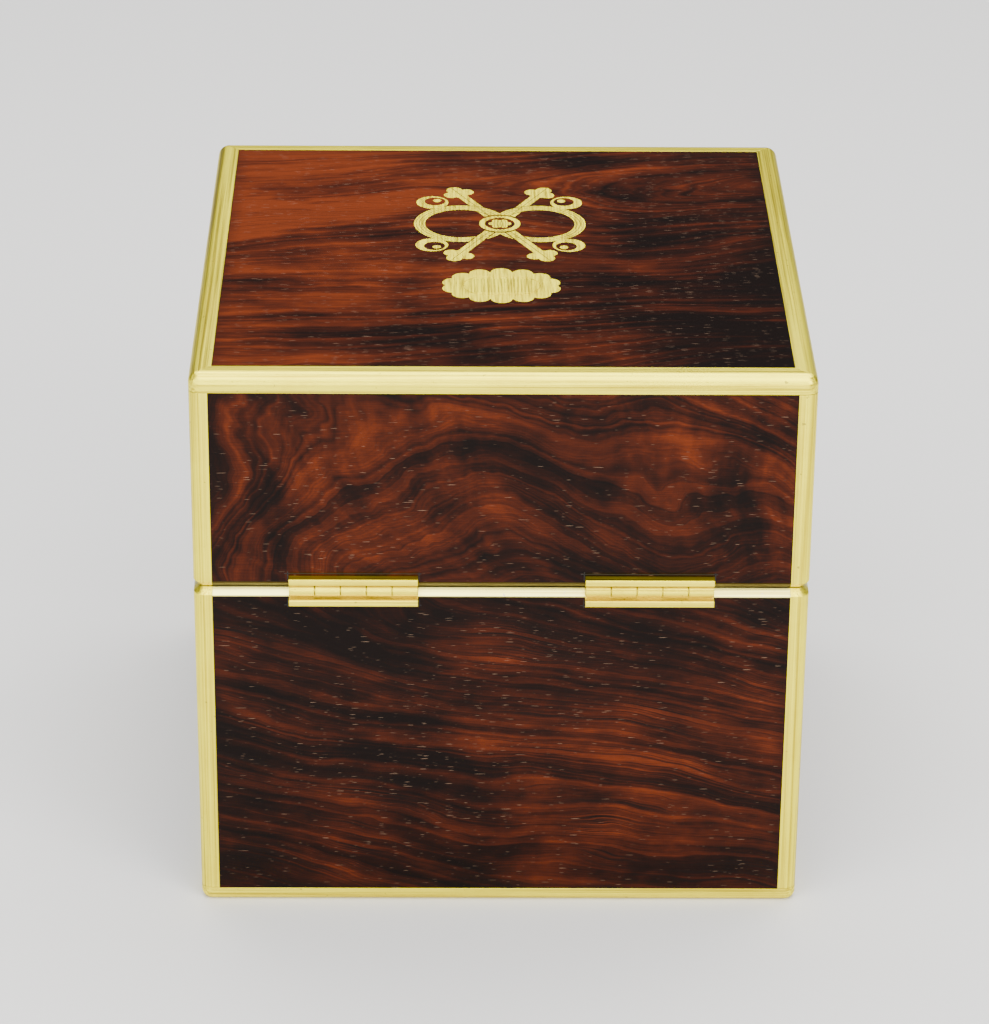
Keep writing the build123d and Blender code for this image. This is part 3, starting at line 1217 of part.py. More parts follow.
# ------------------------------------------------------------------ balance and detent
BALANCE_R = 15.0
BALANCE = (-29.0, -26.0)
SPRING_R, SPRING_WIRE, SPRING_TURNS, SPRING_PITCH = 5.0, 0.22, 7, 0.9
ROLLER_R = hypot(BALANCE_AT[0] - ESCAPE_AT[0], BALANCE_AT[1] - ESCAPE_AT[1]) - ESCAPE_R - 0.12
with BuildPart() as balance_wheel:
    disc(BALANCE_AT, ARBOR_R, COCK[1] + 0.3, POTENCE[0] - 0.2)
    disc(BALANCE_AT, 0.45, COCK[0] + 0.5, COCK[1] + 0.3)
    disc(BALANCE_AT, 0.45, POTENCE[0] - 0.2, POTENCE[1] - 0.3)
    disc(BALANCE_AT, ROLLER_R, -16.2, -14.8)
    disc(BALANCE_AT, 2.2, BALANCE[0] - 1.6, BALANCE[0])
    with BuildSketch(Plane.XY.offset(upper(BALANCE[0]))):
        with Locations(BALANCE_AT):
            Circle(BALANCE_R)
            Circle(BALANCE_R - 1.3, mode=Mode.SUBTRACT)
            with Locations(Rotation(0, 0, 30)):
                with Locations((0, BALANCE_R), (0, -BALANCE_R)):
                    Rectangle(2.4, 4, mode=Mode.SUBTRACT)
    extrude(amount=BALANCE[1] - BALANCE[0])
    with BuildSketch(Plane.XY.offset(upper(BALANCE[0]))):
        with Locations(BALANCE_AT):
            Rectangle(2 * BALANCE_R - 1.5, 2.2)
            Circle(2.6)
    extrude(amount=1.4)
    for turn in (60, 240):
        a = turn * pi / 180
        spot = (BALANCE_AT[0] + (BALANCE_R - 0.6) * cos(a), BALANCE_AT[1] + (BALANCE_R - 0.6) * sin(a))
        disc(spot, 1.9, BALANCE[0] - 0.6, BALANCE[1] + 0.6)
finish(balance_wheel.part, "balance_wheel")

with BuildPart() as balance_spring:
    with BuildLine(Plane((*BALANCE_AT, upper(BALANCE[0] - 2.2 - SPRING_TURNS * SPRING_PITCH)))) as coil:
        Helix(SPRING_PITCH, SPRING_TURNS * SPRING_PITCH, SPRING_R)
    with BuildSketch(Plane(coil.line @ 0, z_dir=coil.line % 0)):
        Circle(SPRING_WIRE)
    sweep()
finish(balance_spring.part, "balance_spring")

DETENT_X = ESCAPE_AT[0] - ESCAPE_R - 1.2
DETENT_FOOT = (DETENT_X, -33.0)
with BuildPart() as detent:
    disc(DETENT_FOOT, 2.0, BACK_PLATE[1] + 0.05, -14.0)
    block(
        (DETENT_X - 0.25, DETENT_FOOT[1], upper(-16.2)), (DETENT_X + 0.25, ESCAPE_AT[1] + 9, upper(-15.0))
    )
    block(
        (DETENT_X, ESCAPE_AT[1] - 0.4, upper(-16.2)),
        (DETENT_X + 0.85, ESCAPE_AT[1] + 0.4, upper(-14.8)),
    )
finish(detent.part, "detent")


# ------------------------------------------------------------------ hands
def hand_blank(place, levels, length, tail, boss, half_width, blade):
    """A hand pointing to twelve: a tapering stem, a spade-shaped blade and a round boss."""
    base = Plane.XY.offset(upper(levels[0]))
    with BuildSketch(base) as face:
        with Locations(place):
            Circle(boss)
            Polygon((-half_width, 0), (half_width, 0), (half_width * 0.6, length - blade),
                    (-half_width * 0.6, length - blade), align=None)
            if blade:
                with Locations((0, length - blade)):
                    Ellipse(blade * 0.26, blade * 0.42)
                Polygon((-blade * 0.2, length - blade * 0.8), (blade * 0.2, length - blade * 0.8),
                        (0, length), align=None)
            else:
                Polygon((-half_width * 0.6, length - 1), (half_width * 0.6, length - 1), (0, length + 1),
                        align=None)
            if tail:
                Polygon((-half_width, 0), (-half_width * 1.5, -tail), (half_width * 1.5, -tail),
                        (half_width, 0), align=None)
    extrude(face.sketch, amount=levels[1] - levels[0])


with BuildPart() as minute_hand:
    hand_blank(CENTRE_AT, MINUTE_HAND, 43.0, 0, 2.4, 0.75, 11.0)
    disc(CENTRE_AT, 0.8, MINUTE_HAND[0], MINUTE_HAND[1], mode=Mode.SUBTRACT)
finish(minute_hand.part, "minute_hand")

with BuildPart() as hour_hand:
    wheel(CENTRE_AT, HOUR_T, HOUR_M, (6.1, 6.7), MINUTE_AT, arms=4, hub=2.6)
    disc(CENTRE_AT, 2.2, 6.1, HOUR_HAND[0])
    hand_blank(CENTRE_AT, HOUR_HAND, 27.0, 0, 2.9, 0.9, 10.0)
    disc(CENTRE_AT, 1.0, 6.0, HOUR_HAND[1] + 0.1, mode=Mode.SUBTRACT)
finish(hour_hand.part, "hour_hand")

with BuildPart() as seconds_hand:
    hand_blank(FOURTH_AT, SECONDS_HAND, 14.2, 4.5, 1.3, 0.3, 0)
    disc(FOURTH_AT, 0.5, *SECONDS_HAND, mode=Mode.SUBTRACT)
finish(seconds_hand.part, "seconds_hand")

POWER_HAND = (8.6, 9.0)
with BuildPart() as power_hand:
    wheel(POWER_AT, POWER_T, POWER_M, (5.4, 6.0), FUSEE_AT, arms=4, hub=2.0)
    disc(POWER_AT, 1.1, 5.4, POWER_HAND[0])
    hand_blank(POWER_AT, POWER_HAND, 8.6, 3.0, 1.5, 0.35, 0)
    disc(POWER_AT, 0.75, 5.0, 7.2, mode=Mode.SUBTRACT)
finish(power_hand.part, "power_hand")
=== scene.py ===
"""A boxed marine chronometer: brass-bound rosewood, with the movement hanging in gimbals inside."""

import math

import bmesh
import bpy
from mathutils import Matrix, Vector


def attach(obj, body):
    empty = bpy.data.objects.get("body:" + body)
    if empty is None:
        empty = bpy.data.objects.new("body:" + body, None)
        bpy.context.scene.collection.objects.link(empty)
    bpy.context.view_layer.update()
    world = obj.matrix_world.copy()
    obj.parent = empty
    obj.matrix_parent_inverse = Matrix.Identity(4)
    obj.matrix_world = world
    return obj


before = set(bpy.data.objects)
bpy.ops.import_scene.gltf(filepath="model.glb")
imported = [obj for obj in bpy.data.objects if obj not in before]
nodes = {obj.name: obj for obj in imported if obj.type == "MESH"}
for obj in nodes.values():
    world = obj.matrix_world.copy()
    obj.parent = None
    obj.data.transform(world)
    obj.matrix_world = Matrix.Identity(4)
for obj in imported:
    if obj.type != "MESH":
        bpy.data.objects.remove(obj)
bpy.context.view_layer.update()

# ---------------------------------------------------------------- studio
# A pale seamless floor, a large overhead softbox, a softer one behind the camera and a fill at
# each side. The camera looks at the hinged back of the box from above.
MM = 0.001
CAMERA_PLACE = Vector((0.0159, 1.1476, 0.6625))
CAMERA_AIM = Vector((-0.0115, -0.8943, -0.4487))
CAMERA_ROLL = math.radians(0.511)
CAMERA_LENS = 144.0

camera = bpy.data.cameras.new("camera")
camera.lens = CAMERA_LENS
camera.sensor_width = 36
camera_object = bpy.data.objects.new("camera", camera)
bpy.context.collection.objects.link(camera_object)
aim = CAMERA_AIM.to_track_quat("-Z", "Y").to_matrix().to_4x4()
camera_object.matrix_world = Matrix.Translation(CAMERA_PLACE) @ aim @ Matrix.Rotation(CAMERA_ROLL, 4, "Z")
bpy.context.scene.camera = camera_object


def softbox(name, place, aim_at, size, power, colour=(1.0, 1.0, 1.0)):
    """A rectangular studio light."""
    light = bpy.data.lights.new(name, "AREA")
    light.shape = "RECTANGLE"
    light.size, light.size_y = size
    light.energy = power
    light.color = colour
    lamp = bpy.data.objects.new(name, light)
    bpy.context.collection.objects.link(lamp)
    turn = (Vector(aim_at) - Vector(place)).to_track_quat("-Z", "Y").to_matrix().to_4x4()
    lamp.matrix_world = Matrix.Translation(place) @ turn


BOX_MIDDLE = (0, 0, 0.09)
softbox("overhead", (0.05, 0.85, 1.55), BOX_MIDDLE, (1.9, 1.5), 60)
softbox("key", (-1.2, 1.3, 1.0), BOX_MIDDLE, (0.8, 0.8), 26, (1.0, 0.98, 0.94))
softbox("fill", (1.3, 1.0, 0.6), BOX_MIDDLE, (0.8, 0.8), 14, (0.95, 0.98, 1.0))
softbox("behind", (-0.1, -0.6, 1.5), BOX_MIDDLE, (2.0, 1.0), 46)
softbox("low", (0.0, 1.8, 0.34), BOX_MIDDLE, (2.2, 0.5), 26)

world = bpy.data.worlds.new("studio")
bpy.context.scene.world = world
world.use_nodes = True
world.node_tree.nodes["Background"].inputs["Color"].default_value = (0.60, 0.61, 0.63, 1)
world.node_tree.nodes["Background"].inputs["Strength"].default_value = 0.32


def new_piece(name, mesh_work):
    """A mesh object from a finished bmesh, at the origin."""
    mesh = bpy.data.meshes.new(name)
    mesh_work.to_mesh(mesh)
    mesh_work.free()
    piece = bpy.data.objects.new(name, mesh)
    bpy.context.collection.objects.link(piece)
    return piece


def add_node(tree, kind, values=None, **settings):
    """A shader node. values are socket names or numbers, each with a number, colour or output."""
    made = tree.nodes.new(kind)
    for key, value in settings.items():
        setattr(made, key, value)
    for socket, value in (values or {}).items():
        if isinstance(value, bpy.types.NodeSocket):
            tree.links.new(value, made.inputs[socket])
        else:
            made.inputs[socket].default_value = value
    return made


def new_material(name):
    """A material with a bare Principled BSDF. Returns the material, its tree and the shader."""
    material = bpy.data.materials.new(name)
    material.use_nodes = True
    tree = material.node_tree
    return material, tree, tree.nodes["Principled BSDF"]


FLOOR_HALF = 12.0
floor_mesh = bmesh.new()
bmesh.ops.create_grid(floor_mesh, x_segments=1, y_segments=1, size=FLOOR_HALF)
floor = new_piece("floor", floor_mesh)
floor_paint, _, floor_shader = new_material("studio floor")
floor_shader.inputs["Base Color"].default_value = (0.62, 0.61, 0.60, 1)
floor_shader.inputs["Roughness"].default_value = 0.75
floor.data.materials.append(floor_paint)


# ---------------------------------------------------------------- shared shader effects
def effect(name, inputs, outputs):
    """An empty node group with named sockets. Returns the group, its input and output nodes."""
    group = bpy.data.node_groups.new(name, "ShaderNodeTree")
    for socket, kind, value in inputs:
        made = group.interface.new_socket(socket, in_out="INPUT", socket_type=kind)
        made.default_value = value
    for socket, kind in outputs:
        group.interface.new_socket(socket, in_out="OUTPUT", socket_type=kind)
    return group, group.nodes.new("NodeGroupInput").outputs, group.nodes.new("NodeGroupOutput").inputs


def maths(tree, operation, *values):
    """A Math node's result."""
    made = add_node(tree, "ShaderNodeMath", dict(enumerate(values)), operation=operation)
    return made.outputs[0]


def vector_maths(tree, operation, *values):
    """A Vector Math node's vector result."""
    made = add_node(tree, "ShaderNodeVectorMath", dict(enumerate(values)), operation=operation)
    return made.outputs["Value" if operation in ("LENGTH", "DISTANCE", "DOT_PRODUCT") else "Vector"]


def ramp(tree, value, stops):
    """A colour ramp. stops are (position, colour) pairs."""
    made = add_node(tree, "ShaderNodeValToRGB", {"Fac": value})
    while len(made.color_ramp.elements) < len(stops):
        made.color_ramp.elements.new(0.5)
    for element, (position, colour) in zip(made.color_ramp.elements, stops):
        element.position = position
        element.color = (*colour, 1) if len(colour) == 3 else colour
    return made.outputs["Color"]


def span(tree, value, low, high, new_low=0.0, new_high=1.0):
    """A clamped change of range."""
    made = add_node(tree, "ShaderNodeMapRange", {
        "Value": value, "From Min": low, "From Max": high, "To Min": new_low, "To Max": new_high,
    })
    return made.outputs["Result"]


def blend_colour(tree, share, first, second, mode="MIX"):
    """One colour mixed over another."""
    made = add_node(tree, "ShaderNodeMix", data_type="RGBA", blend_type=mode)
    for socket, value in ((0, share), (6, first), (7, second)):
        if isinstance(value, bpy.types.NodeSocket):
            tree.links.new(value, made.inputs[socket])
        else:
            made.inputs[socket].default_value = value
    return made.outputs[2]


def noise(tree, place, detail=2.0, roughness=0.5, scale=1.0):
    """A noise texture's value at a place already in the pattern's own units."""
    made = add_node(tree, "ShaderNodeTexNoise", {
        "Vector": place, "Scale": scale, "Detail": detail, "Roughness": roughness,
    })
    return made.outputs["Fac"]


def ring_noise(tree, where, detail=2.0, roughness=0.5):
    """Noise that changes along one number only, as growth rings do."""
    made = add_node(tree, "ShaderNodeTexNoise", {
        "W": where, "Scale": 1.0, "Detail": detail, "Roughness": roughness,
    }, noise_dimensions="1D")
    return made.outputs["Fac"]


# ---------------------------------------------------------------- rosewood
# Brazilian rosewood boards, French-polished. Growth rings lie round a pith that runs nearly
# along the board, so they show as loops and long streaks. Open pores show as pale dashes.
rosewood_figure, given, result = effect(
    "rosewood figure",
    [
        ("Place", "NodeSocketVector", (0, 0, 0)),
        ("Grain", "NodeSocketVector", (0, 0, 0)),
        ("Swirl", "NodeSocketFloat", 14.0),
        ("Warmth", "NodeSocketFloat", 0.5),
        ("Lines", "NodeSocketFloat", 0.7),
        ("Lean", "NodeSocketVector", (0, 0, 0)),
    ],
    [("Color", "NodeSocketColor"), ("Roughness", "NodeSocketFloat"), ("Height", "NodeSocketFloat")],
)
tree = rosewood_figure
place_mm = vector_maths(tree, "MULTIPLY", given["Place"], (1000, 1000, 1000))
grain_mm = vector_maths(tree, "MULTIPLY", given["Grain"], (1000, 1000, 1000))
slow = add_node(tree, "ShaderNodeTexNoise", {
    "Vector": vector_maths(tree, "MULTIPLY", place_mm, (0.009, 0.015, 0.015)),
    "Scale": 1.0, "Detail": 1.0, "Roughness": 0.4,
})
slow_shift = vector_maths(tree, "SUBTRACT", slow.outputs["Color"], (0.5, 0.5, 0.5))
swirl = add_node(tree, "ShaderNodeVectorMath", {0: slow_shift, "Scale": given["Swirl"]}, operation="SCALE")
wavy = add_node(tree, "ShaderNodeTexNoise", {
    "Vector": vector_maths(tree, "MULTIPLY", place_mm, (0.035, 0.09, 0.09)),
    "Scale": 1.0, "Detail": 2.0, "Roughness": 0.5,
})
wavy_shift = vector_maths(tree, "SUBTRACT", wavy.outputs["Color"], (0.5, 0.5, 0.5))
wave = add_node(tree, "ShaderNodeVectorMath", {0: wavy_shift, "Scale": 5.5}, operation="SCALE")
bent = vector_maths(tree, "ADD", vector_maths(tree, "ADD", place_mm, swirl.outputs[0]), wave.outputs[0])
radius = vector_maths(tree, "LENGTH", vector_maths(tree, "MULTIPLY", bent, (0, 1, 1)))
bands = ring_noise(tree, maths(tree, "MULTIPLY", radius, 0.085), detail=2.0, roughness=0.5)
streaks = ring_noise(tree, maths(tree, "MULTIPLY", radius, 0.42), detail=2.0, roughness=0.55)
threads = ring_noise(tree, maths(tree, "MULTIPLY", radius, 1.7), detail=2.0, roughness=0.55)
smoke = noise(tree, vector_maths(tree, "MULTIPLY", bent, (0.022, 0.055, 0.055)), 4.0, 0.62)
fibre = noise(tree, vector_maths(tree, "MULTIPLY", grain_mm, (0.10, 5.0, 5.0)), 3.0, 0.65)
tone = maths(tree, "ADD", maths(tree, "MULTIPLY", bands, 0.26), maths(tree, "MULTIPLY", streaks, 0.20))
tone = maths(tree, "ADD", tone, maths(tree, "MULTIPLY", threads, 0.10))
tone = maths(tree, "ADD", tone, maths(tree, "MULTIPLY", smoke, 0.54))
tone = maths(tree, "ADD", tone, maths(tree, "MULTIPLY", fibre, 0.05))
tone = maths(tree, "ADD", tone, maths(tree, "MULTIPLY", given["Warmth"], 0.12))
tone = maths(tree, "ADD", tone, vector_maths(tree, "DOT_PRODUCT", grain_mm, given["Lean"]))
colour = ramp(tree, tone, [
    (0.500, (0.0026, 0.0008, 0.0004)),
    (0.560, (0.0080, 0.0017, 0.0006)),
    (0.610, (0.0210, 0.0036, 0.0010)),
    (0.670, (0.0410, 0.0066, 0.0015)),
    (0.760, (0.0960, 0.0160, 0.0032)),
])
pencil = maths(tree, "ABSOLUTE", maths(tree, "SUBTRACT", streaks, 0.52))
pencil_share = maths(tree, "MULTIPLY", span(tree, pencil, 0.006, 0.045, 1.0, 0.0), given["Lines"])
gaps = noise(tree, vector_maths(tree, "MULTIPLY", bent, (0.02, 0.06, 0.06)), 2.0, 0.5)
broken = span(tree, gaps, 0.40, 0.60)
pencil_share = maths(tree, "MULTIPLY", pencil_share, broken)
colour = blend_colour(tree, pencil_share, colour, (0.0040, 0.0018, 0.0012, 1))
grey = ramp(tree, fibre, [(0.3, (0.70, 0.70, 0.70)), (0.7, (1.28, 1.25, 1.22))])
colour = blend_colour(tree, 1.0, colour, grey, "MULTIPLY")
dashes = noise(tree, vector_maths(tree, "MULTIPLY", grain_mm, (0.24, 4.2, 4.2)), 1.0, 0.4)
clusters = noise(tree, vector_maths(tree, "MULTIPLY", grain_mm, (0.025, 0.05, 0.05)), 2.0, 0.5)
dash_edge = span(tree, clusters, 0.30, 0.70, 0.730, 0.690)
pore = span(tree, maths(tree, "SUBTRACT", dashes, dash_edge), 0.0, 0.035)
colour = blend_colour(tree, maths(tree, "MULTIPLY", pore, 0.4), colour, (0.30, 0.19, 0.12, 1))
tree.links.new(colour, result["Color"])
tree.links.new(span(tree, pore, 0, 1, 0.30, 0.6), result["Roughness"])
tree.links.new(maths(tree, "MULTIPLY", pore, -1.0), result["Height"])


board_edge, given, result = effect(
    "board edge",
    [("Place", "NodeSocketVector", (0, 0, 0)), ("Lowest", "NodeSocketVector", (0, 0, 0)),
     ("Highest", "NodeSocketVector", (0, 0, 0))],
    [("Inside", "NodeSocketFloat")],
)
tree = board_edge
board_mm = vector_maths(tree, "MULTIPLY", given["Place"], (1000, 1000, 1000))
sides = add_node(tree, "ShaderNodeSeparateXYZ", {0: board_mm})
low = add_node(tree, "ShaderNodeSeparateXYZ", {0: given["Lowest"]})
high = add_node(tree, "ShaderNodeSeparateXYZ", {0: given["Highest"]})
inside = 1000.0
for axis in "XYZ":
    for gap in (
        maths(tree, "SUBTRACT", sides.outputs[axis], low.outputs[axis]),
        maths(tree, "SUBTRACT", high.outputs[axis], sides.outputs[axis]),
    ):
        inside = maths(tree, "MINIMUM", inside, gap)
tree.links.new(inside, result["Inside"])


def rosewood(name, pith, turn, swirl, warmth, lines, panel, quarter=0, lean=(0, 0, 0)):
    """Polished rosewood. pith is a point on the pith and turn brings the figure to the X axis.

    panel is the lowest and highest corner that the brass leaves showing, with a dark glue line
    round it, and painted shade darkens the wood within 4 mm of the brass. quarter turns the
    pores and fibres of a board that runs front to back. lean makes the tone warmer along a
    direction, per millimetre.
    """
    material, tree, shader = new_material(name)
    where = add_node(tree, "ShaderNodeTexCoord").outputs["Object"]
    grain = add_node(tree, "ShaderNodeMapping", {
        "Vector": where, "Rotation": (0, 0, math.radians(quarter)),
    }).outputs["Vector"]
    centred = vector_maths(tree, "SUBTRACT", where, tuple(v * MM for v in pith))
    turned = add_node(tree, "ShaderNodeMapping", {
        "Vector": centred, "Rotation": tuple(math.radians(v) for v in turn),
    }).outputs["Vector"]
    figure = add_node(tree, "ShaderNodeGroup", {}, node_tree=rosewood_figure)
    tree.links.new(turned, figure.inputs["Place"])
    tree.links.new(grain, figure.inputs["Grain"])
    for socket, value in (("Swirl", swirl), ("Warmth", warmth), ("Lines", lines), ("Lean", lean)):
        figure.inputs[socket].default_value = value
    soft_edge = add_node(tree, "ShaderNodeBevel", {"Radius": 0.2 * MM}, samples=4)
    bump = add_node(tree, "ShaderNodeBump", {
        "Height": figure.outputs["Height"], "Normal": soft_edge.outputs[0],
        "Strength": 0.2, "Distance": 0.08 * MM,
    })
    border = add_node(tree, "ShaderNodeGroup", {}, node_tree=board_edge)
    tree.links.new(where, border.inputs["Place"])
    border.inputs["Lowest"].default_value, border.inputs["Highest"].default_value = panel
    # A dark glue line where the wood meets the brass, then painted shade: the wood darkened over the 4 mm
    # next to the brass.
    glue = span(tree, border.outputs["Inside"], 0.10, 0.35, 0.9, 0.0)
    shade = span(tree, border.outputs["Inside"], 0.0, 4.0, 0.35, 0.0)
    glue_and_painted_shade = maths(tree, "MAXIMUM", glue, shade)
    edged = blend_colour(tree, glue_and_painted_shade, figure.outputs["Color"], (0.0022, 0.0010, 0.0007, 1))
    tree.links.new(edged, shader.inputs["Base Color"])
    tree.links.new(figure.outputs["Roughness"], shader.inputs["Roughness"])
    tree.links.new(bump.outputs["Normal"], shader.inputs["Normal"])
    shader.inputs["Specular IOR Level"].default_value = 0.04
    shader.inputs["Coat Weight"].default_value = 0.25
    shader.inputs["Coat Roughness"].default_value = 0.06
    shader.inputs["Coat IOR"].default_value = 1.28
    return material


def dress(node, material):
    """Gives a CAD piece its finish."""
    for slot in nodes[node].material_slots:
        slot.material = material


WIDE = 84.4  # half width between the upright angles
LID_PANEL, BASE_PANEL = (108.9, 169.4), (4.4, 104.1)


def facing(across, heights):
    """The panel of a board, from its half width on X or Y and its heights."""
    reach = (WIDE, 999) if across == "X" else (999, WIDE)
    return (-reach[0], -reach[1], heights[0]), (reach[0], reach[1], heights[1])


dress("lid_top_board", rosewood(
    "rosewood lid top", (46, -40, 196), (0, 4, -6), 40, 0.52, 0.35,
    ((-83.4, -83.4, -999), (83.4, 83.4, 999)), lean=(0.0011, -0.0006, 0)))
dress("lid_back_board", rosewood(
    "rosewood lid back", (-34, 58, 60), (0, 40, 30), 58, 0.35, 0.3, facing("X", LID_PANEL)))
dress("base_back_board", rosewood(
    "rosewood base back", (64, 52, 150), (0, 9, 8), 34, 0.32, 1.0, facing("X", BASE_PANEL),
    lean=(-0.0003, 0, -0.0003)))
dress("lid_front_board", rosewood(
    "rosewood lid front", (20, -50, 190), (0, 8, -10), 46, 0.38, 0.6, facing("X", LID_PANEL)))
dress("base_front_board", rosewood(
    "rosewood base front", (10, -40, 10), (0, -8, 6), 40, 0.34, 0.8, facing("X", BASE_PANEL)))
dress("lid_side_boards", rosewood(
    "rosewood lid sides", (0, 30, 60), (0, 8, 80), 46, 0.36, 0.6, facing("Y", LID_PANEL), 90))
dress("base_side_boards", rosewood(
    "rosewood base sides", (0, -30, 130), (0, -8, 96), 40, 0.34, 0.8, facing("Y", BASE_PANEL), 90))
dress("base_bottom_board", rosewood(
    "rosewood bottom", (30, 20, -30), (0, 2, 3), 20, 0.3, 0.6, ((-999, -999, -999), (999, 999, 999))))

# ---------------------------------------------------------------- brass
# Cast and rolled brass, filed and papered lengthwise, with tarnish in the low places and small
# nicks. The angles are pinned and glued into rebates and cleaned off flush with the wood.
brass_surface, given, result = effect(
    "brass surface",
    [
        ("Place", "NodeSocketVector", (0, 0, 0)),
        ("Brushing", "NodeSocketVector", (10, 1600, 1600)),
        ("Tarnish", "NodeSocketFloat", 0.4),
    ],
    [("Color", "NodeSocketColor"), ("Roughness", "NodeSocketFloat"), ("Height", "NodeSocketFloat")],
)
tree = brass_surface
lines = noise(tree, vector_maths(tree, "MULTIPLY", given["Place"], given["Brushing"]), 3.0, 0.6)
cloud = noise(tree, vector_maths(tree, "MULTIPLY", given["Place"], (70, 70, 70)), 4.0, 0.6)
specks = noise(tree, vector_maths(tree, "MULTIPLY", given["Place"], (620, 620, 620)), 2.0, 0.5)
nick = span(tree, specks, 0.71, 0.76)
stain = maths(tree, "MULTIPLY", span(tree, cloud, 0.42, 0.75), given["Tarnish"])
colour = blend_colour(tree, stain, (1.0, 0.88, 0.03, 1), (0.70, 0.54, 0.02, 1))
brushed = ramp(tree, lines, [
    (0.34, (0.56, 0.50, 0.34)),
    (0.47, (0.86, 0.83, 0.74)),
    (0.58, (1.0, 1.0, 1.0)),
])
colour = blend_colour(tree, 1.0, colour, brushed, "MULTIPLY")
colour = blend_colour(tree, maths(tree, "MULTIPLY", nick, 0.55), colour, (0.16, 0.11, 0.05, 1))
tree.links.new(colour, result["Color"])
rough = maths(tree, "ADD", span(tree, lines, 0.25, 0.75, 0.32, 0.48), maths(tree, "MULTIPLY", stain, 0.15))
tree.links.new(rough, result["Roughness"])
tree.links.new(maths(tree, "SUBTRACT", maths(tree, "MULTIPLY", lines, 0.4), nick), result["Height"])

BRUSHED_X, BRUSHED_Y, BRUSHED_Z = (9, 1500, 1500), (1500, 9, 1500), (1500, 1500, 9)
EVEN = (300, 300, 300)


# engraved lines along the inlay's rings and bars, and a hatched middle in its plaque
inlay_engraving, given, result = effect(
    "inlay engraving", [("Place", "NodeSocketVector", (0, 0, 0))], [("Mask", "NodeSocketFloat")])
tree = inlay_engraving
KNOT_AT, PLAQUE_AT = (0, -22.6, 175), (0, 25.3, 175)
inlay_mm = vector_maths(tree, "MULTIPLY", given["Place"], (1000, 1000, 1000))
knot = vector_maths(tree, "SUBTRACT", inlay_mm, KNOT_AT)
knot = vector_maths(tree, "MULTIPLY", knot, (1, 1, 0))
nearest = 100.0
for side in (-1, 1):
    from_ring = vector_maths(tree, "LENGTH", vector_maths(tree, "SUBTRACT", knot, (side * 12.0, 0, 0)))
    for radius in (11.75, 12.8, 13.85):
        off = maths(tree, "ABSOLUTE", maths(tree, "SUBTRACT", from_ring, radius))
        nearest = maths(tree, "MINIMUM", nearest, maths(tree, "ADD", off, 0.0 if radius == 12.8 else 0.03))
bar_off = 100.0
for side in (-1, 1):
    across = vector_maths(tree, "DOT_PRODUCT", knot, (0.8872, side * -0.4613, 0))
    bar_off = maths(tree, "MINIMUM", bar_off, maths(tree, "ABSOLUTE", across))
far = vector_maths(tree, "LENGTH", knot)
bar_off = maths(tree, "ADD", bar_off, maths(tree, "MULTIPLY", maths(tree, "LESS_THAN", far, 7.2), 100.0))
nearest = maths(tree, "MINIMUM", nearest, bar_off)
knot_mask = span(tree, nearest, 0.07, 0.17, 1.0, 0.0)
plaque = add_node(tree, "ShaderNodeSeparateXYZ", {0: vector_maths(tree, "SUBTRACT", inlay_mm, PLAQUE_AT)})
hatch = maths(tree, "PINGPONG", plaque.outputs["X"], 0.5)
within = maths(tree, "MULTIPLY", span(tree, maths(tree, "ABSOLUTE", plaque.outputs["X"]), 9.6, 9.8, 1, 0),
               span(tree, maths(tree, "ABSOLUTE", plaque.outputs["Y"]), 4.9, 5.1, 1, 0))
hatch_mask = maths(tree, "MULTIPLY", span(tree, hatch, 0.06, 0.16, 0.6, 0.0), within)
tree.links.new(maths(tree, "MAXIMUM", knot_mask, hatch_mask), result["Mask"])


def brass(name, brushing, tarnish=0.4, tint=(1, 1, 1), edge=0.3, lift=0.0, framed=False, depth=0.03,
          engraving=None):
    """Brushed brass. framed brass is brushed along whichever side of the box it lies on."""
    material, tree, shader = new_material(name)
    where = add_node(tree, "ShaderNodeTexCoord").outputs["Object"]
    surface = add_node(tree, "ShaderNodeGroup", {}, node_tree=brass_surface)
    tree.links.new(where, surface.inputs["Place"])
    surface.inputs["Tarnish"].default_value = tarnish
    if framed:
        axes = add_node(tree, "ShaderNodeSeparateXYZ", {0: vector_maths(tree, "ABSOLUTE", where)})
        on_side = maths(tree, "GREATER_THAN", axes.outputs["X"], axes.outputs["Y"])
        pick = add_node(tree, "ShaderNodeMix", {"Factor": on_side}, data_type="VECTOR")
        pick.inputs[4].default_value = BRUSHED_X
        pick.inputs[5].default_value = BRUSHED_Y
        tree.links.new(pick.outputs[1], surface.inputs["Brushing"])
    else:
        surface.inputs["Brushing"].default_value = brushing
    tinted = blend_colour(tree, 1.0, surface.outputs["Color"], (*tint, 1), "MULTIPLY")
    if engraving:
        cuts = add_node(tree, "ShaderNodeGroup", {}, node_tree=engraving)
        tree.links.new(where, cuts.inputs["Place"])
        cut = maths(tree, "MULTIPLY", cuts.outputs["Mask"], 0.85)
        tinted = blend_colour(tree, cut, tinted, (0.07, 0.045, 0.012, 1))
    tree.links.new(tinted, shader.inputs["Base Color"])
    tree.links.new(maths(tree, "ADD", surface.outputs["Roughness"], lift), shader.inputs["Roughness"])
    shader.inputs["Metallic"].default_value = 1.0
    soft_edge = add_node(tree, "ShaderNodeBevel", {"Radius": edge * MM}, samples=4)
    bump = add_node(tree, "ShaderNodeBump", {
        "Height": surface.outputs["Height"], "Normal": soft_edge.outputs[0],
        "Strength": 0.5, "Distance": depth * MM,
    })
    tree.links.new(bump.outputs["Normal"], shader.inputs["Normal"])
    return material


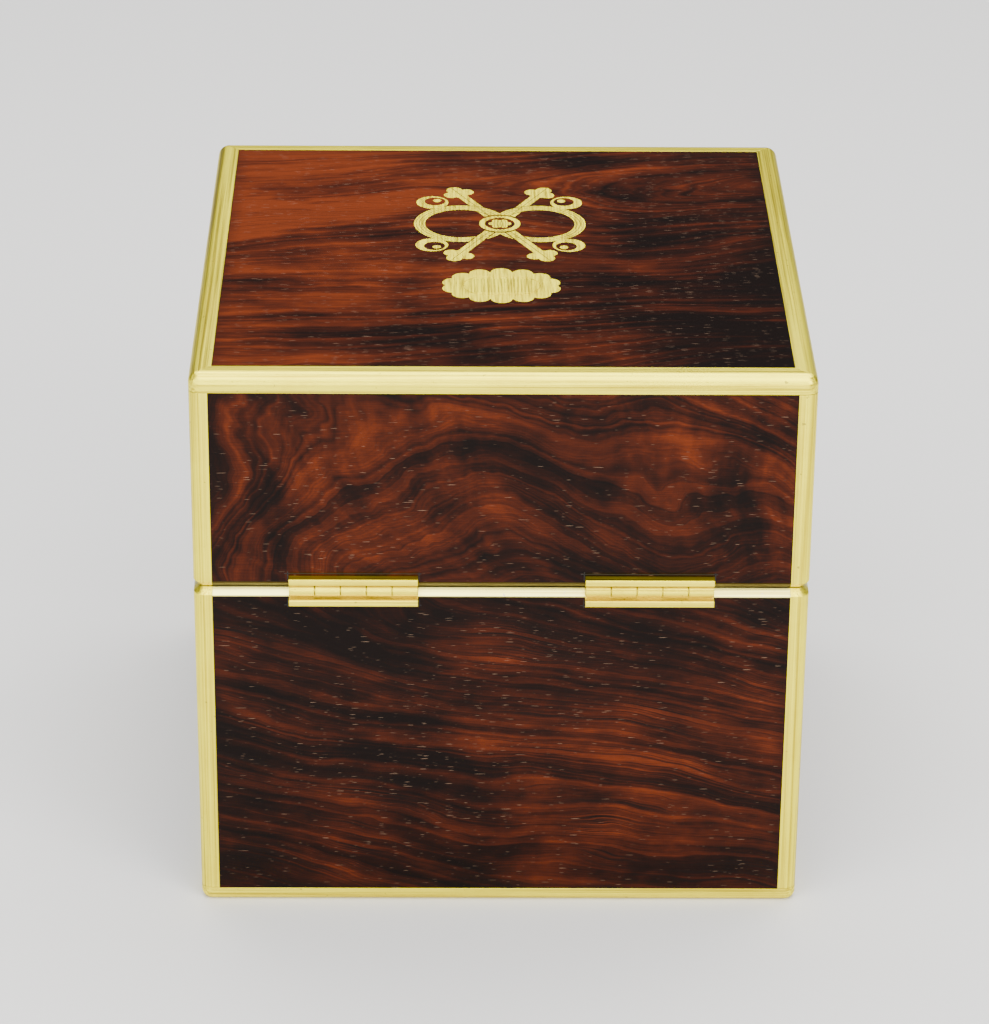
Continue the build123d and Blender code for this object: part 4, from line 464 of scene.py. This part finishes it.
post_brass = brass("brass angle, upright", BRUSHED_Z, 0.35)
strip_brass = brass("brass angle, level", BRUSHED_X, 0.3, framed=True)
for part in ("lid_corner_binding", "base_corner_binding"):
    dress(part, post_brass)
for part in ("lid_top_binding", "base_foot_binding"):
    dress(part, strip_brass)
# The base rim's tint turns its brass nearly white: a painted reflection, the bright line of light caught on
# the rim's chamfer at the seam.
dress("base_rim_binding", brass(
    "brass rim, base, painted reflection", BRUSHED_X, 0.1, tint=(1.0, 1.04, 9.0), edge=0.15, lift=-0.1, framed=True))
# The lid rim's near-black tint and heavy tarnish share are painted shade: the dark line of the shadowed gap
# just above the seam.
dress("lid_rim_binding", brass(
    "brass rim, lid, painted shade", BRUSHED_X, 0.8, tint=(0.07, 0.055, 0.3), edge=0.15, framed=True))
dress("lid_inlay", brass("inlay brass", (1400, 60, 1400), 0.35, edge=0.08, lift=0.1,
                          engraving=inlay_engraving))
hinge_brass = brass("hinge brass", BRUSHED_X, 0.5, tint=(1.0, 0.97, 0.95), edge=0.5)
for part in ("hinge_base_leaves", "hinge_lid_leaves", "hinge_pins"):
    dress(part, hinge_brass)
screw_brass = brass("screw brass", EVEN, 0.5, tint=(0.95, 0.9, 0.8), edge=0.1)
for part in ("base_wood_screws", "lid_wood_screws"):
    dress(part, screw_brass)
fitting_brass = brass("fitting brass", BRUSHED_X, 0.3, edge=0.2)
for part in ("lock_case", "lock_link_plate", "lock_escutcheon"):
    dress(part, fitting_brass)
handle_brass = brass("handle brass", BRUSHED_Y, 0.35, edge=0.25)
for part in ("handle_pans", "left_handle", "right_handle"):
    dress(part, handle_brass)
lacquered = brass("lacquered brass", EVEN, 0.15, tint=(0.96, 0.80, 1.6), edge=0.25, lift=-0.08)
for part in ("gimbal_brackets", "gimbal_ring", "bowl", "bezel", "winding_shutter", "winding_key",
             "key_socket", "gimbal_lock_bracket", "gimbal_lock_lever"):
    dress(part, lacquered)
gilt = brass("gilt brass", EVEN, 0.1, tint=(1.0, 0.82, 1.5), edge=0.08, lift=0.02)
for part in ("pillar_plate", "back_plate", "balance_cock", "barrel", "fusee", "great_wheel",
             "centre_wheel", "third_wheel", "fourth_wheel", "escape_wheel", "minute_wheel"):
    dress(part, gilt)


# ---------------------------------------------------------------- steel, gold and silvered metal
# Polished steel arbors and springs, heat-blued steel hands, gold hands and the silvered dial.
# Fine scratches vary the gloss a little.


def polished_metal(name, colour, roughness, scratch=900):
    """A polished metal whose gloss varies a little."""
    material, tree, shader = new_material(name)
    where = add_node(tree, "ShaderNodeTexCoord").outputs["Object"]
    marks = noise(tree, vector_maths(tree, "MULTIPLY", where, (scratch,) * 3), 3.0, 0.6)
    gloss = span(tree, marks, 0.3, 0.7, roughness - 0.05, roughness + 0.07)
    tree.links.new(gloss, shader.inputs["Roughness"])
    shader.inputs["Base Color"].default_value = (*colour, 1)
    shader.inputs["Metallic"].default_value = 1.0
    return material


steel = polished_metal("polished steel", (0.60, 0.60, 0.62), 0.22)
for part in ("gimbal_outer_pivots", "gimbal_inner_pivots", "lock_bolt", "fusee_chain", "mainspring",
             "detent", "balance_wheel"):
    dress(part, steel)
blued = polished_metal("blued steel", (0.03, 0.06, 0.30), 0.18)
for part in ("balance_spring", "seconds_hand", "power_hand"):
    dress(part, blued)
gold = polished_metal("gold hands", (0.95, 0.66, 0.20), 0.18)
for part in ("minute_hand", "hour_hand"):
    dress(part, gold)
dress("dial", polished_metal("silvered dial", (0.83, 0.82, 0.77), 0.42, 2500))

glass, tree, shader = new_material("crystal glass")
shader.inputs["Base Color"].default_value = (0.97, 0.99, 0.98, 1)
shader.inputs["Roughness"].default_value = 0.0
shader.inputs["Transmission Weight"].default_value = 1.0
shader.inputs["IOR"].default_value = 1.5
rays = add_node(tree, "ShaderNodeLightPath")
clear = add_node(tree, "ShaderNodeBsdfTransparent", {"Color": (0.95, 0.96, 0.95, 1)})
not_seen = maths(tree, "MAXIMUM", rays.outputs["Is Shadow Ray"], rays.outputs["Is Diffuse Ray"])
either = add_node(tree, "ShaderNodeMixShader", {0: not_seen, 1: shader.outputs[0], 2: clear.outputs[0]})
tree.links.new(either.outputs[0], tree.nodes["Material Output"].inputs["Surface"])
dress("crystal", glass)

# ---------------------------------------------------------------- dial printing
# Engraved and black-waxed: hour numerals and a minute ring, a seconds ring below the middle and
# a ring of hours run above it. Twelve o'clock points to the back.
DIAL_Z, SUNK_Z = 94.2, 93.9  # faces of the dial and of its two sunk rings
PRINT_T = 0.02
wax, _, wax_shader = new_material("black dial wax")
wax_shader.inputs["Base Color"].default_value = (0.012, 0.011, 0.010, 1)
wax_shader.inputs["Roughness"].default_value = 0.45
wax_shader.inputs["Specular IOR Level"].default_value = 0.2


def stroke(mesh, places, width, level):
    """A flat line of one width through places, in millimetres."""
    for (ax, ay), (bx, by) in zip(places, places[1:]):
        length = math.hypot(bx - ax, by - ay)
        nx, ny = (ay - by) / length * width / 2, (bx - ax) / length * width / 2
        corners = ((ax - nx, ay - ny), (bx - nx, by - ny), (bx + nx, by + ny), (ax + nx, ay + ny))
        mesh.faces.new([mesh.verts.new((x * MM, y * MM, level * MM)) for x, y in corners])


def circle_line(middle, radius, turns=72, start=0.0, end=360.0):
    """Points round a circle or part of one, clockwise from twelve o'clock, in degrees."""
    return [
        (middle[0] + radius * math.sin(math.radians(start + (end - start) * k / turns)),
         middle[1] + radius * math.cos(math.radians(start + (end - start) * k / turns)))
        for k in range(turns + 1)
    ]


def set_round(places, middle, radius, turn):
    """Moves places, drawn upright round 0, to a radius and angle with their feet inwards."""
    s, c = math.sin(math.radians(turn)), math.cos(math.radians(turn))
    return [(middle[0] + u * c + (radius + v) * s, middle[1] - u * s + (radius + v) * c) for u, v in places]


def ticks(mesh, middle, count, low, high, width, level, span_deg=360.0, start=0.0):
    """Radial lines between two radii."""
    for k in range(count):
        turn = start + span_deg * k / count
        stroke(mesh, set_round([(0, low), (0, high)], middle, 0, turn), width, level)


NUMERALS = ["XII", "I", "II", "III", "IIII", "V", "VI", "VII", "VIII", "IX", "X", "XI"]
LETTER_W = {"I": 1.9, "V": 3.7, "X": 3.7}
LETTER_H = 8.4
HOUR_R = 35.4
THICK, THIN, SERIF = 0.85, 0.3, 0.22  # widths of the pen's strokes
SERIF_HALF = 0.75
MINUTE_LOW, MINUTE_HIGH = 42.4, 44.6
printing = bmesh.new()
level = DIAL_Z + PRINT_T
for hour, numeral in enumerate(NUMERALS):
    at = -sum(LETTER_W[letter] for letter in numeral) / 2
    for letter in numeral:
        wide, top, foot = LETTER_W[letter], LETTER_H / 2, -LETTER_H / 2
        middle = at + wide / 2
        reach = wide / 2 - 0.55
        if letter == "I":
            lines = [([(middle, foot), (middle, top)], THICK)]
            reach = 0
        elif letter == "V":
            lines = [([(middle - reach, top), (middle, foot)], THICK),
                     ([(middle + reach, top), (middle, foot)], THIN)]
        else:
            lines = [([(middle - reach, top), (middle + reach, foot)], THICK),
                     ([(middle + reach, top), (middle - reach, foot)], THIN)]
        for end in (foot, top):
            for x in {-reach, reach} if letter != "V" or end == top else {0.0}:
                serif = [(middle + x - SERIF_HALF, end), (middle + x + SERIF_HALF, end)]
                lines.append((serif, SERIF))
        for places, width in lines:
            stroke(printing, set_round(places, (0, 0), HOUR_R, 30 * hour), width, level)
        at += wide
for radius in (MINUTE_LOW, MINUTE_HIGH):
    stroke(printing, circle_line((0, 0), radius, 180), 0.18, level)
ticks(printing, (0, 0), 60, MINUTE_LOW, MINUTE_HIGH, 0.22, level)
ticks(printing, (0, 0), 12, MINUTE_LOW - 0.5, MINUTE_HIGH + 0.6, 0.6, level)

DIGITS = {
    "0": [circle_line((0, 0), 0.5, 20)],
    "1": [[(-0.2, 0.3), (0.05, 0.5), (0.05, -0.5)]],
    "2": [circle_line((0, 0.22), 0.28, 8, -80, 130) + [(-0.3, -0.5), (0.32, -0.5)]],
    "3": [circle_line((0, 0.25), 0.25, 8, -70, 180), circle_line((0, -0.22), 0.28, 8, 0, 250)],
    "4": [[(0.15, -0.5), (0.15, 0.5), (-0.32, -0.15), (0.34, -0.15)]],
    "5": [[(0.28, 0.5), (-0.2, 0.5), (-0.24, 0.05)] + circle_line((0, -0.18), 0.3, 8, -50, 230)],
    "6": [[(0.2, 0.5), (-0.28, -0.1)], circle_line((0, -0.2), 0.3, 14)],
    "8": [circle_line((0, 0.25), 0.24, 12), circle_line((0, -0.23), 0.28, 12)],
}


def number(mesh, text, middle, radius, turn, height, level):
    """A number set upright round a ring."""
    for k, digit in enumerate(text):
        shift = (k - (len(text) - 1) / 2) * 0.78
        for line in DIGITS[digit]:
            squeeze = 0.62 if digit == "0" else 1.0
            places = [((u * squeeze + shift) * height, v * height) for u, v in line]
            stroke(mesh, set_round(places, middle, radius, turn), height * 0.13, level)


SECONDS_AT, SECONDS_LOW, SECONDS_HIGH = (0, -23), 13.3, 15.6
RUN_AT, RUN_LOW, RUN_HIGH, RUN_SWEEP = (0, 21), 8.2, 9.7, 300.0
level = SUNK_Z + PRINT_T
for radius in (SECONDS_LOW, SECONDS_HIGH):
    stroke(printing, circle_line(SECONDS_AT, radius, 120), 0.14, level)
ticks(printing, SECONDS_AT, 60, SECONDS_LOW, SECONDS_HIGH, 0.16, level)
ticks(printing, SECONDS_AT, 12, 12.9, SECONDS_HIGH, 0.32, level)
for ten in range(6):
    number(printing, str(60 if ten == 0 else 10 * ten), SECONDS_AT, 10.8, 60 * ten, 2.3, level)
for radius in (RUN_LOW, RUN_HIGH):
    stroke(printing, circle_line(RUN_AT, radius, 80, 0, -RUN_SWEEP), 0.14, level)
ticks(printing, RUN_AT, 57, RUN_LOW, RUN_HIGH, 0.1, level, -RUN_SWEEP * 57 / 56)
for step in range(8):
    turn = -RUN_SWEEP * step / 7
    number(printing, str(8 * step), RUN_AT, 6.5, turn, 1.6, level)
printed = new_piece("dial_printing", printing)
printed.data.materials.append(wax)
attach(printed, "bowl")

# ---------------------------------------------------------------- hinge setting-out lines
# The fitter's knife lines round each hinge, filled with dark polish, on the base and on the lid.
BACK_Y = 90.0
SCRIBE_T = 0.05
SCRIBE_W, SCRIBE_END_W = 0.26, 0.30
SEAM_Z, BAR_FAR, HINGE_X, HINGE_HALF = 106.5, 4.4, 43.2, 18.8
for body, side in (("base", -1), ("lid", 1)):
    scribing = bmesh.new()
    near, far = SEAM_Z + side * 3.0, SEAM_Z + side * (BAR_FAR + 0.75)
    for middle in (-HINGE_X, HINGE_X):
        low, high = middle - HINGE_HALF, middle + HINGE_HALF
        stroke(scribing, [(low - 1.0, far), (high + 1.4, far)], SCRIBE_W, 0)
        stroke(scribing, [(high + 0.35, near), (high + 0.35, far + side * 0.7)], SCRIBE_END_W, 0)
        stroke(scribing, [(low - 0.3, near), (low - 0.3, far + side * 0.4)], SCRIBE_W, 0)
    for corner in scribing.verts:
        x, z = corner.co.x, corner.co.y
        corner.co = Vector((x, (BACK_Y + SCRIBE_T) * MM, z))
    bmesh.ops.reverse_faces(scribing, faces=scribing.faces)
    scribed = new_piece(f"hinge_lines_{body}", scribing)
    scribed.data.materials.append(wax)
    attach(scribed, body)
